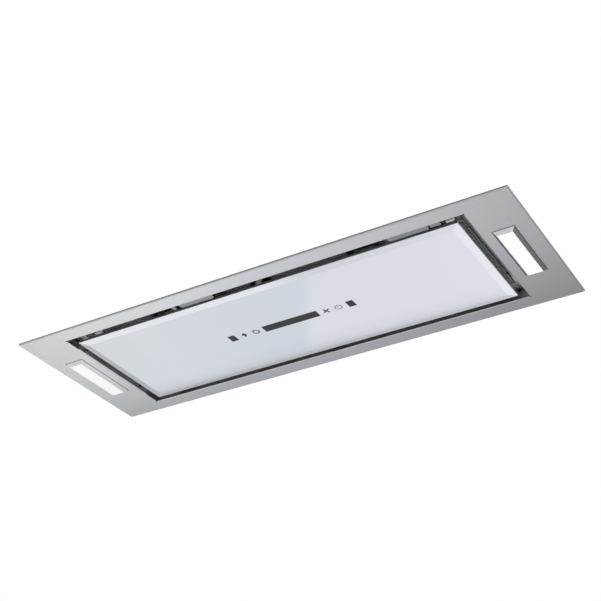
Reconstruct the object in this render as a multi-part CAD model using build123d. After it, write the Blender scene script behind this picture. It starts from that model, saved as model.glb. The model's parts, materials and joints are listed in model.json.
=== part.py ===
from build123d import *
import math
import os

os.makedirs("parts", exist_ok=True)

# Built-in range hood with a swing-down glass panel, in millimetres.
# The origin is the middle of the seating plane: the turned-up rim of the face plate meets the
# underside of the cabinet at z = 0. X runs along the hood, -Y is the user's side, +Z is up.

# Face plate
plate_length = 900.0
plate_width = 320.0
plate_sheet = 1.0
rim_height = 4.0
plate_bend = 1.6
opening_bend = 1.0
opening_length = 737.4
opening_width = 260.2
opening_rise = 14.0
relief_radius = 1.3
relief_gap = 1.6

# Lower housing, whose walls stand off the lamps and the long walls of the opening
lamp_wall_room = 10.0
side_wall_room = 8.9
case_sheet = 1.0
case_bend = 3.0
tray_top = 70.0
tray_hem = 6.0
cabinet_screw_radius = 2.4
cabinet_screw_spacing = 200.0
cabinet_screw_height = 45.0

# Blower tower
tower_length = 300.0
tower_width = 268.0
tower_top = 250.0
tower_hem = 11.0
tower_screw_inset = 37.5

# Glass panel, with the air gaps that it leaves in the opening
end_gap = 15.2
side_gap = 13.6
glass_thickness = 6.0
glass_proud = 3.1
bevel_width = 13.0
bevel_depth = 2.2
print_depth = 0.3

# Touch symbols, printed flush in the glass
symbol_row_x = -0.5
display_length = 104.5
display_width = 18.0
key_square = (13.2, 18.0)
key_corner = 1.0
first_key_x = 67.5
key_pitch = 22.9
symbol_radius = 6.5
heavy_line = 2.4
fine_line = 1.4
arrow_half_width = 5.5
arrow_base = 0.5
arrow_tip = 7.8
arrow_stem = (3.8, 5.9)
arrow_stem_place = 2.6
ring_break_width = 2.6
ring_break_angle = 40.0
ring_head_length = 3.6
ring_head_angle = 30.0
petal_radii = (3.6, 1.6)
petal_count = 4
petal_turn = 60.0
power_gap = 4.1
power_bar_length = 5.2

# Panel carrier, the steel tray bonded to the back of the glass
carrier_end_inset = 13.5
carrier_front_inset = 19.5
carrier_rear_inset = 18.5
carrier_sheet = 1.0
carrier_height = 8.6
board_length = 250.0
board_width = 44.0
board_sheet = 1.6
board_cover_height = 9.0
board_cover_wall = 1.5
board_margin = 4.0
board_cover_gap = 0.5
board_cover_bend = 3.0
board_cover_round = 1.5
touch_chip = (9.0, 9.0, 1.4)
touch_chip_x = (-80.0, -20.0, 40.0, 95.0)
touch_chip_y = 10.0

# Panel hinges on the rear long edge
hinge_end_inset = 33.5
hinge_edge_inset = 10.5
hinge_axis_z = 4.0
hinge_pin_radius = 2.0
hinge_running_gap = 0.06
knuckle_radius = 3.4
knuckle_length = 20.0
hinge_sheet = 1.5
ear_half_width = 4.0
ear_gap = 0.35
arm_leaf_length = 30.0
pin_overhang = 1.0
bracket_foot_depth = 12.0
carrier_hinge_gap = 2.0

# Grease filter cassettes and the rails that carry them
filter_bottom = 18.0
filter_thickness = 9.0
filter_gap = 1.6
filter_front_gap = 6.1
filter_rear_gap = 4.1
filter_frame_bar = 12.0
filter_frame_sheet = 1.2
filter_frame_bend = 2.0
mesh_inset = 1.5
rail_sheet = 1.0
rail_web_gap = 3.0
rail_top = 38.0
rail_lip = 9.0
rail_foot_gap = 0.6
rear_ledge_depth = 8.0
divider_width = 10.0
divider_top = 37.0
divider_rise = 1.0
stop_post_depth = 5.0
stop_gap = 0.4

# Filter latches
latch_travel = 6.0
latch_width = 44.0
latch_depth = 16.0
latch_height = 5.0
latch_gap = 0.4
tongue_width = 28.0
tongue_height = 3.0
tongue_rise = 3.0
tongue_reach = 3.5
tongue_bevel = 1.8
tongue_slot_gap = 2.0
latch_cup_margin = 5.6
latch_cup_wall = 1.5
latch_cup_lap = 1.0
latch_window_inset = 3.0
spring_room = 7.1
thumb_lip_width = 35.0
thumb_lip_height = 5.0
thumb_lip_sheet = 3.0
thumb_lip_inset = 3.0
thumb_lip_round = 1.2
spring_strip = 0.6
spring_inset = 3.0
spring_height = 4.0

# Front catches and stops, placed along the near wall of the opening
catch_left_start = 232.7
catch_left_length = 65.0
catch_right_start = 57.7
catch_right_length = 68.0
catch_ear_length = 17.0
catch_ear_gap = 2.4
catch_ear_reach = 8.0
catch_strap = 3.0
catch_tab_reach = 10.0
catch_tab_recess = 1.0
catch_tab_chamfer = 3.0
catch_sheet = 1.0
catch_arm_width = 26.0
magnet_size = (22.0, 8.0, 3.0)
magnet_gap = 0.4
strike_sheet = 1.0
strike_depth = 12.0
strike_margin = 3.0
clip_start = 220.7
clip_width = 6.5
clip_reach = 11.5
stop_left_start = 63.7
stop_right_start = 23.7
stop_length = 13.0
stop_pad_depth = 5.0
stop_stem_depth = 3.5
stop_pad_round = 1.5
stop_stem_length = 6.5
stop_height = 5.5
stop_recess = 1.0

# Lamps in the ends of the face plate
lamp_offset = 35.8
lamp_base = (35.0, 134.0)
lamp_proud = 5.7
lamp_slope = 4.7
lamp_lip = 0.7
lamp_neck = (29.0, 128.0)
lamp_neck_height = 9.0
lamp_fit_gap = 0.2
lamp_shelf = 1.2
lamp_barb = (10.0, 1.2, 2.0)
diffuser_thickness = 3.0
diffuser_round = 0.4
lamp_board_sheet = 1.6
lamp_board_drop = 0.5
lamp_chip_count = 9
lamp_chip = (4.0, 4.0, 0.8)
lamp_cover_length = 194.0
lamp_cover_sheet = 1.0
lamp_cover_recess = 0.6
lamp_cover_gap = 0.5
lamp_screw_spacing = 153.0
lamp_screw_drop = 8.9
lamp_screw_radius = 1.5
lamp_screw_head = (2.55, 1.2)
lamp_screw_length = 5.0
screw_hole_gap = 0.15

# Blower
blower_axis_y = -26.0
blower_axis_z = 138.0
scroll_inner_width = 116.0
scroll_start_radius = 84.0
scroll_growth = 9.0
scroll_tongue_angle = 75.0
scroll_wall = 2.5
scroll_mouth_lip = 16.0
mouth_screw_inset = 5.0
inlet_radius = 62.0
inlet_lip = 5.0
wheel_radius = 71.0
wheel_inner_radius = 58.0
wheel_length = 100.0
blade_count = 36
blade_thickness = 1.0
blade_bow = 4.0
blade_tip_gap = 0.5
wheel_ring = 2.0
wheel_ring_inset = 5.0
wheel_disc_x = -3.0
hub_radius = 12.0
hub_length = 18.0
shaft_radius = 4.0
shaft_overhang = 2.0
shaft_bevel = 0.6
shaft_end_gap = 0.5
shaft_running_gap = 0.05
motor_radius = 42.0
motor_front_x = 10.0
motor_length = 60.0
motor_round = 4.0
motor_back_wall = 5.5
motor_boss_radius = 14.0
motor_boss_length = 8.0
motor_slot_count = 12
motor_slot_length = 32.0
motor_slot_width = 5.0
motor_slot_depth = 3.0
bracket_sheet = 3.0
bracket_ring_width = 14.0
bracket_arm_width = 14.0
bracket_arm_reach = 76.0
bracket_arm_count = 3
damper_radius = 8.0
damper_groove_width = 2.0
damper_groove_depth = 2.0

# Outlet collar and non-return flaps
collar_radius = 74.5
collar_wall = 2.0
collar_height = 46.0
collar_flange = 12.0
collar_flange_thickness = 3.0
collar_screw_inset = 5.4
collar_bevel = 1.0
flap_rod_radius = 2.0
flap_rod_inset = 0.3
flap_rod_height = 11.0
flap_thickness = 1.5
flap_edge_gap = 1.0
flap_knuckle_radius = 3.4
flap_knuckle_length = 12.0
flap_knuckle_pitch = 16.0
flap_knuckle_count = 6
flap_rib_length = 88.0
flap_rib_width = 3.0
flap_rib_height = 1.2
flap_rib_place = 32.0
flap_root = 4.2
flap_running_gap = 0.06
flap_ledge = 2.5
flap_ledge_gap = 0.3
flap_ledge_break = 3.0

# Control case on the top of the lower housing
control_x = (190.0, 330.0)
control_y = (-70.0, 50.0)
control_height = 38.0
control_wall = 2.0
control_lid_thickness = 2.5
control_bend = 4.0
control_lid_round = 1.0
control_screw_radius = 1.6
control_screw_head = (3.0, 1.8)
control_screw_round = 0.7
control_screw_grip = 2.0
control_boss_radius = 4.0
control_boss_inset = 5.0
wire_hole_radius = 8.0
power_board_sheet = 1.6
power_board_gap = 3.0
power_board_inset = 4.0
power_board_boss_gap = 0.5
transformer = (-35.0, 22.0, 32.0, 28.0, 20.0)
relay = (8.0, 26.0, 20.0, 16.0, 15.0)
terminal_strip = (-30.0, -32.0, 40.0, 12.0, 11.0)
board_blocks = (transformer, relay, terminal_strip)
capacitor_place = (32.0, 26.0)
capacitor_radius = 8.0
capacitor_height = 18.0
gland_radius = 10.0
gland_bore_radius = 4.5
gland_nut_radius = 12.0
gland_nut_width = 6.0
gland_ring_width = 3.0
gland_dome_radius = 11.0
gland_dome_round = 4.0
gland_length = 24.0

# Side springs that hold the hood in its cut-out
spring_x = 300.0
spring_width = 30.0
side_spring_sheet = 1.0
spring_top = 60.0
spring_knee_height = 22.0
spring_bulge = 9.0
spring_tail = 7.0
spring_tail_lift = 1.5
spring_knee_sharpness = 0.4
spring_seat = 12.0
rivet_head = (3.2, 1.3)
rivet_place = 6.0

# Small screws
screw_radius = 1.9
screw_head_radius = 3.6
screw_head_height = 2.2
screw_head_round = 0.9
screw_slot = (4.0, 0.9, 0.9)
screw_grip = 7.0
collar_screw_count = 6

# How far a cutting body passes beyond the face that it cuts, and how near counts as the same place
beyond = 1.0
same_place = 0.01

# Places worked out from the sizes above
underside = -rim_height
plate_top = underside + plate_sheet
half_opening_x = opening_length / 2
half_opening_y = opening_width / 2
opening_top = underside + opening_rise
glass_length = opening_length - 2 * end_gap
glass_width = opening_width - 2 * side_gap
lamp_x = half_opening_x + lamp_offset
body_length = 2 * (lamp_x + lamp_neck[0] / 2 + lamp_wall_room + case_sheet)
body_width = 2 * (half_opening_y + side_wall_room + case_sheet)
carrier_length = glass_length - 2 * carrier_end_inset
carrier_front_y = carrier_front_inset - glass_width / 2
carrier_rear_y = glass_width / 2 - carrier_rear_inset
hinge_x = glass_length / 2 - hinge_end_inset
hinge_axis_y = glass_width / 2 - hinge_edge_inset
filter_front_y = filter_front_gap - half_opening_y
filter_rear_y = half_opening_y - filter_rear_gap
rail_front_web_y = filter_front_y - rail_web_gap
rear_ledge_front_y = filter_rear_y - rear_ledge_depth
catch_left_x = (catch_left_start - half_opening_x, catch_left_start + catch_left_length - half_opening_x)
catch_right_x = (half_opening_x - catch_right_start - catch_right_length, half_opening_x - catch_right_start)
clip_x = clip_start - half_opening_x
stop_left_x = stop_left_start - half_opening_x
stop_right_x = half_opening_x - stop_right_start
glass_bottom = underside - glass_proud
glass_top = glass_bottom + glass_thickness
carrier_base_top = glass_top + carrier_sheet
carrier_top = glass_top + carrier_height
filter_top = filter_bottom + filter_thickness
filter_inner_x = divider_width / 2 + filter_gap
cover_face_x = half_opening_x - lamp_cover_sheet
filter_outer_x = cover_face_x - filter_gap
filter_center_x = (filter_inner_x + filter_outer_x) / 2
lamp_face = underside - lamp_proud
lamp_lower = (lamp_base[0] - 2 * lamp_slope, lamp_base[1] - 2 * lamp_slope)
diffuser_size = (lamp_lower[0] - 2 * lamp_lip, lamp_lower[1] - 2 * lamp_lip)
lamp_inner = [size + 2 * lamp_fit_gap for size in diffuser_size]
mouth_y0 = blower_axis_y + scroll_start_radius * math.cos(math.radians(scroll_tongue_angle))
mouth_y1 = blower_axis_y + scroll_start_radius + 3 * scroll_growth
collar_y = (mouth_y0 + mouth_y1) / 2
collar_inner = collar_radius - collar_wall
lid_top = tower_top + case_sheet
collar_base_top = lid_top + collar_flange_thickness
flap_axis_z = collar_base_top + flap_rod_height
screw_hole = screw_radius + screw_hole_gap
scroll_side_x = scroll_inner_width / 2 + scroll_wall
magnet_low = carrier_top + strike_sheet + magnet_gap
magnet_z = (magnet_low, magnet_low + magnet_size[2])
magnet_y = carrier_front_y - magnet_size[1]
rail_foot = magnet_z[1] + catch_sheet + rail_foot_gap
motor_rear_x = motor_front_x + motor_length
blower_axis = (blower_axis_y, blower_axis_z)
latch_cup_width = latch_width + 2 * (latch_gap + latch_cup_margin)
latch_room_front = filter_front_y + filter_frame_bar
latch_room_depth = latch_gap + latch_depth + latch_travel + spring_room
latch_room_y = (latch_room_front, latch_room_front + latch_room_depth)
latch_cup_y = (latch_room_front - latch_cup_lap, latch_room_y[1] + latch_cup_wall)
latch_floor = filter_bottom + filter_frame_sheet
tongue_z = (filter_bottom + tongue_rise, filter_bottom + tongue_rise + tongue_height)
control_top = tray_top + control_height
control_middle = (sum(control_x) / 2, sum(control_y) / 2)
gland_z = (tray_top + control_top) / 2


def block(x_range, y_range, z_range):
    """A box between two X, two Y and two Z values."""
    size = [max(r) - min(r) for r in (x_range, y_range, z_range)]
    middle = [(r[0] + r[1]) / 2 for r in (x_range, y_range, z_range)]
    return Pos(*middle) * Box(*size)


def around(centre, length):
    """A range of the given length about a centre."""
    return (centre - length / 2, centre + length / 2)


def upright(radius, z_range, x=0.0, y=0.0):
    """A vertical cylinder."""
    height = z_range[1] - z_range[0]
    return Pos(x, y, (z_range[0] + z_range[1]) / 2) * Cylinder(radius, height)


def lengthways(radius, x_range, y=0.0, z=0.0):
    """A cylinder along X."""
    length = x_range[1] - x_range[0]
    return Pos((x_range[0] + x_range[1]) / 2, y, z) * Rot(0, 90, 0) * Cylinder(radius, length)


def crossways(radius, y_range, x=0.0, z=0.0):
    """A cylinder along Y."""
    length = y_range[1] - y_range[0]
    return Pos(x, (y_range[0] + y_range[1]) / 2, z) * Rot(90, 0, 0) * Cylinder(radius, length)


def profile_along_x(points, x_range):
    """A closed outline of (y, z) points, drawn out along X."""
    face = make_face(Polyline(*[(x_range[0], y, z) for y, z in points], close=True))
    return extrude(face, amount=x_range[1] - x_range[0], dir=(1, 0, 0))


def pick(edges, x=None, z=None):
    """The edges whose middle lies at the stated coordinates."""
    chosen = []
    for edge in edges:
        middle = edge.center()
        if x is not None and abs(middle.X - x) > same_place:
            continue
        if z is not None and abs(middle.Z - z) > same_place:
            continue
        chosen.append(edge)
    return chosen


def widened(x_range, margin=beyond):
    """A range made longer by the margin at both ends."""
    return (x_range[0] - margin, x_range[1] + margin)


def lip_range(edge, side, depth):
    """The sorted range from an edge to a depth beyond it, on the given side."""
    return sorted((edge, edge + side * depth))


def save(node, *solids):
    """Write one node; several separate solids make one group."""
    pieces = []
    for solid in solids:
        pieces.extend(solid.solids())
    shape = pieces[0] if len(pieces) == 1 else Compound(children=pieces)
    export_step(shape, f"parts/{node}.step")


def pan_screw(x, y, z):
    """A screw that goes down from a seat at height z, with its slotted head above."""
    shank = upright(screw_radius, (-screw_grip, 0))
    head = upright(screw_head_radius, (0, screw_head_height))
    head = fillet(pick(head.edges(), z=screw_head_height), screw_head_round)
    slot = block(around(0, screw_slot[0]), around(0, screw_slot[1]),
                 (screw_head_height - screw_slot[2], screw_head_height + beyond))
    return Pos(x, y, z) * (shank + head - slot)


# Face plate: a shallow pan with a turned-up rim, an opening with turned-up edges and lamp windows
def face_plate():
    half_x = plate_length / 2
    half_y = plate_width / 2
    pan = block((-half_x, half_x), (-half_y, half_y), (underside, 0))
    pan = fillet(pick(pan.edges(), z=underside), plate_bend)
    pan -= block((plate_sheet - half_x, half_x - plate_sheet), (plate_sheet - half_y, half_y - plate_sheet),
                 (plate_top, beyond))
    walls = block((-half_opening_x - plate_sheet, half_opening_x + plate_sheet),
                  (-half_opening_y - plate_sheet, half_opening_y + plate_sheet), (underside, opening_top))
    pan += walls
    pan -= block((-half_opening_x, half_opening_x), (-half_opening_y, half_opening_y),
                 (underside - beyond, opening_top + beyond))
    inner_edges = [edge for edge in pick(pan.edges(), z=underside)
                   if abs(edge.center().X) < half_opening_x + same_place
                   and abs(edge.center().Y) < half_opening_y + same_place]
    pan = fillet(inner_edges, opening_bend)
    for sx in (-1, 1):
        for sy in (-1, 1):
            corner_x = sx * (half_opening_x + plate_sheet / 2)
            corner_y = sy * (half_opening_y + plate_sheet / 2)
            pan -= block(around(corner_x, relief_gap), around(corner_y, relief_gap),
                         (plate_top, opening_top + beyond))
            pan -= upright(relief_radius, (underside - beyond, opening_top + beyond), corner_x, corner_y)
    for side in (-1, 1):
        window = [size + 2 * lamp_fit_gap for size in lamp_neck]
        pan -= block(around(side * lamp_x, window[0]), around(0, window[1]), widened((underside, plate_top)))
        x_range = widened(lip_range(side * half_opening_x, side, plate_sheet))
        for sy in (-1, 1):
            pan -= lengthways(lamp_screw_radius + screw_hole_gap, x_range, sy * lamp_screw_spacing / 2,
                              underside + lamp_screw_drop)
    return pan


# Lower housing: a tray open downwards, with an outward hem that lies on the face plate
def housing_tray():
    half_x = body_length / 2
    half_y = body_width / 2
    outer = block((-half_x, half_x), (-half_y, half_y), (plate_top, tray_top))
    outer = fillet(outer.edges().filter_by(Axis.Z), case_bend)
    inner = block((case_sheet - half_x, half_x - case_sheet), (case_sheet - half_y, half_y - case_sheet),
                  (plate_top - beyond, tray_top - case_sheet))
    inner = fillet(inner.edges().filter_by(Axis.Z), case_bend - case_sheet)
    hem = block((-half_x - tray_hem, half_x + tray_hem), (-half_y - tray_hem, half_y + tray_hem),
                (plate_top, plate_top + case_sheet))
    tray = outer + hem - inner
    roof = (tray_top - case_sheet, tray_top)
    tray -= block(around(0, tower_length - 2 * case_sheet), around(0, tower_width - 2 * case_sheet),
                  widened(roof))
    for sx in (-1, 1):
        x_range = widened(lip_range(sx * half_x, -sx, case_sheet))
        for sy in (-1, 1):
            tray -= lengthways(cabinet_screw_radius, x_range, sy * cabinet_screw_spacing / 2,
                               cabinet_screw_height)
    for x, y in tower_screw_places():
        tray -= upright(screw_hole, widened(roof), x, y)
    tray -= upright(wire_hole_radius, widened(roof), *control_middle)
    for x, y in control_feet():
        tray -= upright(control_screw_radius + screw_hole_gap, widened(roof), x, y)
    return tray


def tower_screw_places():
    """Screws through the lower flange of the tower, along its two ends."""
    end_x = tower_length / 2 + tower_hem / 2
    row_y = tower_width / 2 - tower_screw_inset
    return [(side * end_x, y) for side in (-1, 1) for y in (-row_y, 0.0, row_y)]


def lid_screw_places():
    """Screws through the lid into the upper flange of the tower."""
    row_y = tower_width / 2 - case_sheet - tower_hem / 2
    row_x = tower_length / 2 - case_sheet - tower_hem / 2
    ends = [(side * row_x, y) for side in (-1, 1) for y in (-row_y, 0.0, row_y)]
    return ends + [(0.0, -row_y)]


def collar_screw_places():
    """Screws round the foot of the outlet collar."""
    ring = collar_radius + collar_flange - collar_screw_inset
    places = []
    for index in range(collar_screw_count):
        angle = math.radians(360 * index / collar_screw_count)
        places.append((ring * math.cos(angle), collar_y + ring * math.sin(angle)))
    return places


# Tower: four walls with an outward flange at the foot and an inward flange at the top
def tower_shell():
    half_x = tower_length / 2
    half_y = tower_width / 2
    tower = block((-half_x, half_x), (-half_y, half_y), (tray_top, tower_top))
    tower = fillet(tower.edges().filter_by(Axis.Z), case_bend)
    tower += block(widened((-half_x, half_x), tower_hem), (-half_y, half_y), (tray_top, tray_top + case_sheet))
    inner = block((case_sheet - half_x, half_x - case_sheet), (case_sheet - half_y, half_y - case_sheet),
                  (tray_top - beyond, tower_top - case_sheet))
    tower -= fillet(inner.edges().filter_by(Axis.Z), case_bend - case_sheet)
    rim_x = half_x - case_sheet - tower_hem
    rim_y = half_y - case_sheet - tower_hem
    upper_flange = widened((tower_top - case_sheet, tower_top))
    tower -= block((-rim_x, rim_x), (-rim_y, rim_y), upper_flange)
    for x, y in tower_screw_places():
        tower -= upright(screw_hole, widened((tray_top, tray_top + case_sheet)), x, y)
    for x, y in lid_screw_places():
        tower -= upright(screw_hole, upper_flange, x, y)
    return tower


def blower_screw_places():
    """Screws that hang the blower from the lid, at the corners of the lip round its mouth."""
    outward = scroll_wall + scroll_mouth_lip - mouth_screw_inset
    screw_x = scroll_inner_width / 2 + outward
    return [(side * screw_x, y) for side in (-1, 1) for y in (mouth_y0 - outward, mouth_y1 + outward)]


def tower_lid():
    lid = block(around(0, tower_length), around(0, tower_width), (tower_top, lid_top))
    lid = fillet(lid.edges().filter_by(Axis.Z), case_bend)
    lid -= upright(collar_inner, widened((tower_top, lid_top)), 0, collar_y)
    for x, y in lid_screw_places() + collar_screw_places() + blower_screw_places():
        lid -= upright(screw_hole, widened((tower_top, lid_top)), x, y)
    return lid


# Outlet collar: a flanged tube with a ledge for the flaps and two holes for their rod
def outlet_collar():
    top = lid_top + collar_height
    flange = upright(collar_radius + collar_flange, (lid_top, collar_base_top), 0, collar_y)
    tube = upright(collar_radius, (lid_top, top), 0, collar_y)
    tube = chamfer(pick(tube.edges(), z=top), collar_bevel)
    collar = flange + tube
    collar -= upright(collar_inner, widened((lid_top, top)), 0, collar_y)
    ledge_z = (lid_top, flap_axis_z - flap_thickness / 2 - flap_ledge_gap)
    ledge = upright(collar_inner + collar_wall / 2, ledge_z, 0, collar_y)
    ledge -= upright(collar_inner - flap_ledge, widened(ledge_z), 0, collar_y)
    gap = 2 * (flap_knuckle_radius + flap_ledge_break)
    ledge -= block(around(0, 2 * collar_radius), around(collar_y, gap), widened(ledge_z))
    collar += ledge
    collar -= lengthways(flap_rod_radius, widened((-collar_radius, collar_radius)), collar_y, flap_axis_z)
    for x, y in collar_screw_places():
        collar -= upright(screw_hole, widened((lid_top, collar_base_top)), x, y)
    return collar


def flap_rod():
    reach = math.sqrt(collar_radius ** 2 - flap_rod_radius ** 2) - flap_rod_inset
    return lengthways(flap_rod_radius, (-reach, reach), collar_y, flap_axis_z)


def flap(side):
    """A half disc with knuckles on the rod; side +1 is the half towards +Y."""
    radius = collar_inner - flap_edge_gap
    z_range = around(flap_axis_z, flap_thickness)
    disc_y = lip_range(collar_y + side * flap_root, side, collar_radius)
    half_disc = block(around(0, 2 * collar_radius), disc_y, z_range)
    plate = upright(radius, z_range, 0, collar_y) & half_disc
    web_y = lip_range(collar_y, side, flap_root + beyond)
    first = 0 if side > 0 else 1
    for index in range(first, flap_knuckle_count, 2):
        middle = (index - (flap_knuckle_count - 1) / 2) * flap_knuckle_pitch
        x_range = around(middle, flap_knuckle_length)
        knuckle = lengthways(flap_knuckle_radius, x_range, collar_y, flap_axis_z)
        plate += knuckle + block(x_range, web_y, z_range)
    plate -= lengthways(flap_rod_radius + flap_running_gap, (-radius, radius), collar_y, flap_axis_z)
    rib_z = (flap_axis_z, flap_axis_z + flap_thickness / 2 + flap_rib_height)
    return plate + block(around(0, flap_rib_length), around(collar_y + side * flap_rib_place, flap_rib_width),
                         rib_z)


# Blower scroll: quarter arcs whose radius grows, then a straight mouth up to the lid
def scroll_outline(reach):
    """The scroll's inner outline, moved outwards by reach, in the YZ plane."""
    def spot(dy, dz):
        return (0.0, blower_axis_y + dy, blower_axis_z + dz)

    first = scroll_start_radius
    second = first + scroll_growth
    third = second + scroll_growth
    tongue = math.radians(scroll_tongue_angle)
    top = tower_top - blower_axis_z
    inner_y = first * math.cos(tongue) - reach
    foot_z = math.sqrt((first + reach) ** 2 - inner_y ** 2)
    half_way = math.radians((scroll_tongue_angle + 180) / 2)
    arc_one = ThreePointArc(spot(inner_y, foot_z),
                            spot((first + reach) * math.cos(half_way), (first + reach) * math.sin(half_way)),
                            spot(-first - reach, 0))
    mid_two = math.radians(225)
    arc_two = ThreePointArc(spot(-first - reach, 0),
                            spot(scroll_growth + (second + reach) * math.cos(mid_two),
                                 (second + reach) * math.sin(mid_two)),
                            spot(scroll_growth, -second - reach))
    mid_three = math.radians(315)
    arc_three = ThreePointArc(spot(scroll_growth, -second - reach),
                              spot(scroll_growth + (third + reach) * math.cos(mid_three),
                                   scroll_growth + (third + reach) * math.sin(mid_three)),
                              spot(scroll_growth + third + reach, scroll_growth))
    right = Line(spot(scroll_growth + third + reach, scroll_growth),
                 spot(scroll_growth + third + reach, top))
    across = Line(spot(scroll_growth + third + reach, top), spot(inner_y, top))
    down = Line(spot(inner_y, top), spot(inner_y, foot_z))
    return make_face([arc_one, arc_two, arc_three, right, across, down])


def scroll_half(side):
    """One moulded half of the scroll, from the middle plane out to its side wall."""
    deep = scroll_inner_width / 2
    outer = extrude(scroll_outline(scroll_wall), amount=side * scroll_side_x, dir=(1, 0, 0))
    inner = extrude(scroll_outline(0.0), amount=side * deep, dir=(1, 0, 0))
    mouth = block((0, side * deep), (mouth_y0, mouth_y1), widened((tower_top - scroll_wall, tower_top)))
    lip_y = (mouth_y0 - scroll_wall - scroll_mouth_lip, mouth_y1 + scroll_wall + scroll_mouth_lip)
    lip = block((0, side * (scroll_side_x + scroll_mouth_lip)), lip_y, (tower_top - scroll_wall, tower_top))
    half = outer + lip - inner - mouth
    bell_x = lip_range(side * scroll_side_x, -side, scroll_wall + inlet_lip)
    half += lengthways(inlet_radius + scroll_wall, bell_x, *blower_axis)
    half -= lengthways(inlet_radius, widened(bell_x), *blower_axis)
    for x, y in blower_screw_places():
        half -= upright(screw_hole, widened((tower_top - scroll_wall, tower_top)), x, y)
    return half


# Wheel: two rows of forward-curved blades between end rings and a middle disc with its hub
def wheel():
    mid_radius = (wheel_inner_radius + wheel_radius) / 2
    outer_tip = wheel_radius - blade_tip_gap
    half = blade_thickness / 2
    front = ThreePointArc((0, wheel_inner_radius, -half), (0, mid_radius, -half - blade_bow),
                          (0, outer_tip, -half))
    back = ThreePointArc((0, outer_tip, half), (0, mid_radius, half - blade_bow),
                         (0, wheel_inner_radius, half))
    tip = Line((0, outer_tip, -half), (0, outer_tip, half))
    root = Line((0, wheel_inner_radius, half), (0, wheel_inner_radius, -half))
    section = make_face([front, tip, back, root])
    blade = Pos(-wheel_length / 2, 0, 0) * extrude(section, amount=wheel_length, dir=(1, 0, 0))
    blades = [Rot(360 * i / blade_count, 0, 0) * blade for i in range(blade_count)]
    rings = []
    for side in (-1, 1):
        x_range = lip_range(side * wheel_length / 2, -side, wheel_ring)
        ring = lengthways(wheel_radius, x_range)
        rings.append(ring - lengthways(wheel_inner_radius + wheel_ring_inset, widened(x_range)))
    disc = lengthways(wheel_radius, around(wheel_disc_x, wheel_ring))
    hub_x = around(wheel_disc_x, hub_length)
    drum = disc + lengthways(hub_radius, hub_x) + rings + blades
    drum -= lengthways(shaft_radius, widened(hub_x))
    return Pos(0, *blower_axis) * drum


def motor_shaft():
    start = wheel_disc_x - hub_length / 2 - shaft_overhang
    shaft = lengthways(shaft_radius, (start, motor_rear_x - motor_back_wall - shaft_end_gap), *blower_axis)
    return chamfer(pick(shaft.edges(), x=start), shaft_bevel)


def motor_case():
    case = fillet(lengthways(motor_radius, (motor_front_x, motor_rear_x)).edges(), motor_round)
    bore_end = motor_rear_x - motor_back_wall
    case += lengthways(motor_boss_radius, (bore_end, motor_rear_x + motor_boss_length))
    case -= lengthways(shaft_radius + shaft_running_gap, (motor_front_x - beyond, bore_end))
    slot = block(around((motor_front_x + motor_rear_x) / 2, motor_slot_length),
                 around(motor_radius, 2 * motor_slot_depth), around(0, motor_slot_width))
    for index in range(motor_slot_count):
        case -= Rot(360 * index / motor_slot_count, 0, 0) * slot
    return Pos(0, *blower_axis) * case


def bracket_angles():
    """The directions of the bracket's arms about the motor, the first one upright."""
    return [90 + 360 * index / bracket_arm_count for index in range(bracket_arm_count)]


def motor_bracket():
    x_range = (motor_rear_x, motor_rear_x + bracket_sheet)
    ring = lengthways(motor_boss_radius + bracket_ring_width, x_range)
    for angle in bracket_angles():
        arm = block(x_range, (0, bracket_arm_reach), around(0, bracket_arm_width))
        pad = lengthways(bracket_arm_width / 2, x_range, bracket_arm_reach)
        ring += Rot(angle, 0, 0) * (arm + pad)
    ring -= lengthways(motor_boss_radius, widened(x_range))
    return Pos(0, *blower_axis) * ring


def motor_dampers():
    """Grooved rubber buffers between the bracket's arms and the side of the scroll."""
    x_range = (scroll_side_x, motor_rear_x)
    groove_x = around(sum(x_range) / 2, damper_groove_width)
    foot = lengthways(damper_radius, x_range, bracket_arm_reach)
    foot -= (lengthways(damper_radius + beyond, groove_x, bracket_arm_reach)
             - lengthways(damper_radius - damper_groove_depth, widened(groove_x), bracket_arm_reach))
    return [Pos(0, *blower_axis) * Rot(angle, 0, 0) * foot for angle in bracket_angles()]


# Rails: the front one takes the latch tongues, the rear one is a ledge under the cassettes
def filter_rail_front():
    wall_y = -body_width / 2 + case_sheet
    web = (rail_front_web_y - rail_sheet, rail_front_web_y)
    points = [(web[0], rail_foot), (web[1], rail_foot), (web[1], rail_top), (wall_y, rail_top),
              (wall_y, rail_top - rail_lip), (wall_y + rail_sheet, rail_top - rail_lip),
              (wall_y + rail_sheet, rail_top - rail_sheet), (web[0], rail_top - rail_sheet)]
    rail = profile_along_x(points, around(0, 2 * cover_face_x))
    for side in (-1, 1):
        rail -= block(around(side * filter_center_x, tongue_width + 2 * tongue_slot_gap), widened(web),
                      widened(tongue_z, latch_gap))
    return rail


def filter_rail_rear():
    wall_y = body_width / 2 - case_sheet
    top = filter_bottom + 2 * rail_lip
    points = [(wall_y, filter_bottom - rail_sheet), (wall_y, top),
              (wall_y - rail_sheet, top), (wall_y - rail_sheet, filter_bottom),
              (rear_ledge_front_y, filter_bottom), (rear_ledge_front_y, filter_bottom - rail_sheet)]
    return profile_along_x(points, around(0, 2 * cover_face_x))


def filter_divider():
    """The channel between the two cassettes."""
    y_range = (rail_front_web_y, filter_rear_y)
    floor = filter_bottom + divider_rise
    bar = block(around(0, divider_width), y_range, (floor, divider_top))
    return bar - block(around(0, divider_width - 2 * rail_sheet), widened(y_range),
                       (floor + rail_sheet, divider_top + beyond))


def stop_post():
    """The post in the middle of the front that the closed panel rests against."""
    return block(around(0, divider_width), (carrier_front_y - stop_post_depth, carrier_front_y),
                 (carrier_top + stop_gap, filter_bottom + divider_rise))


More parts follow.
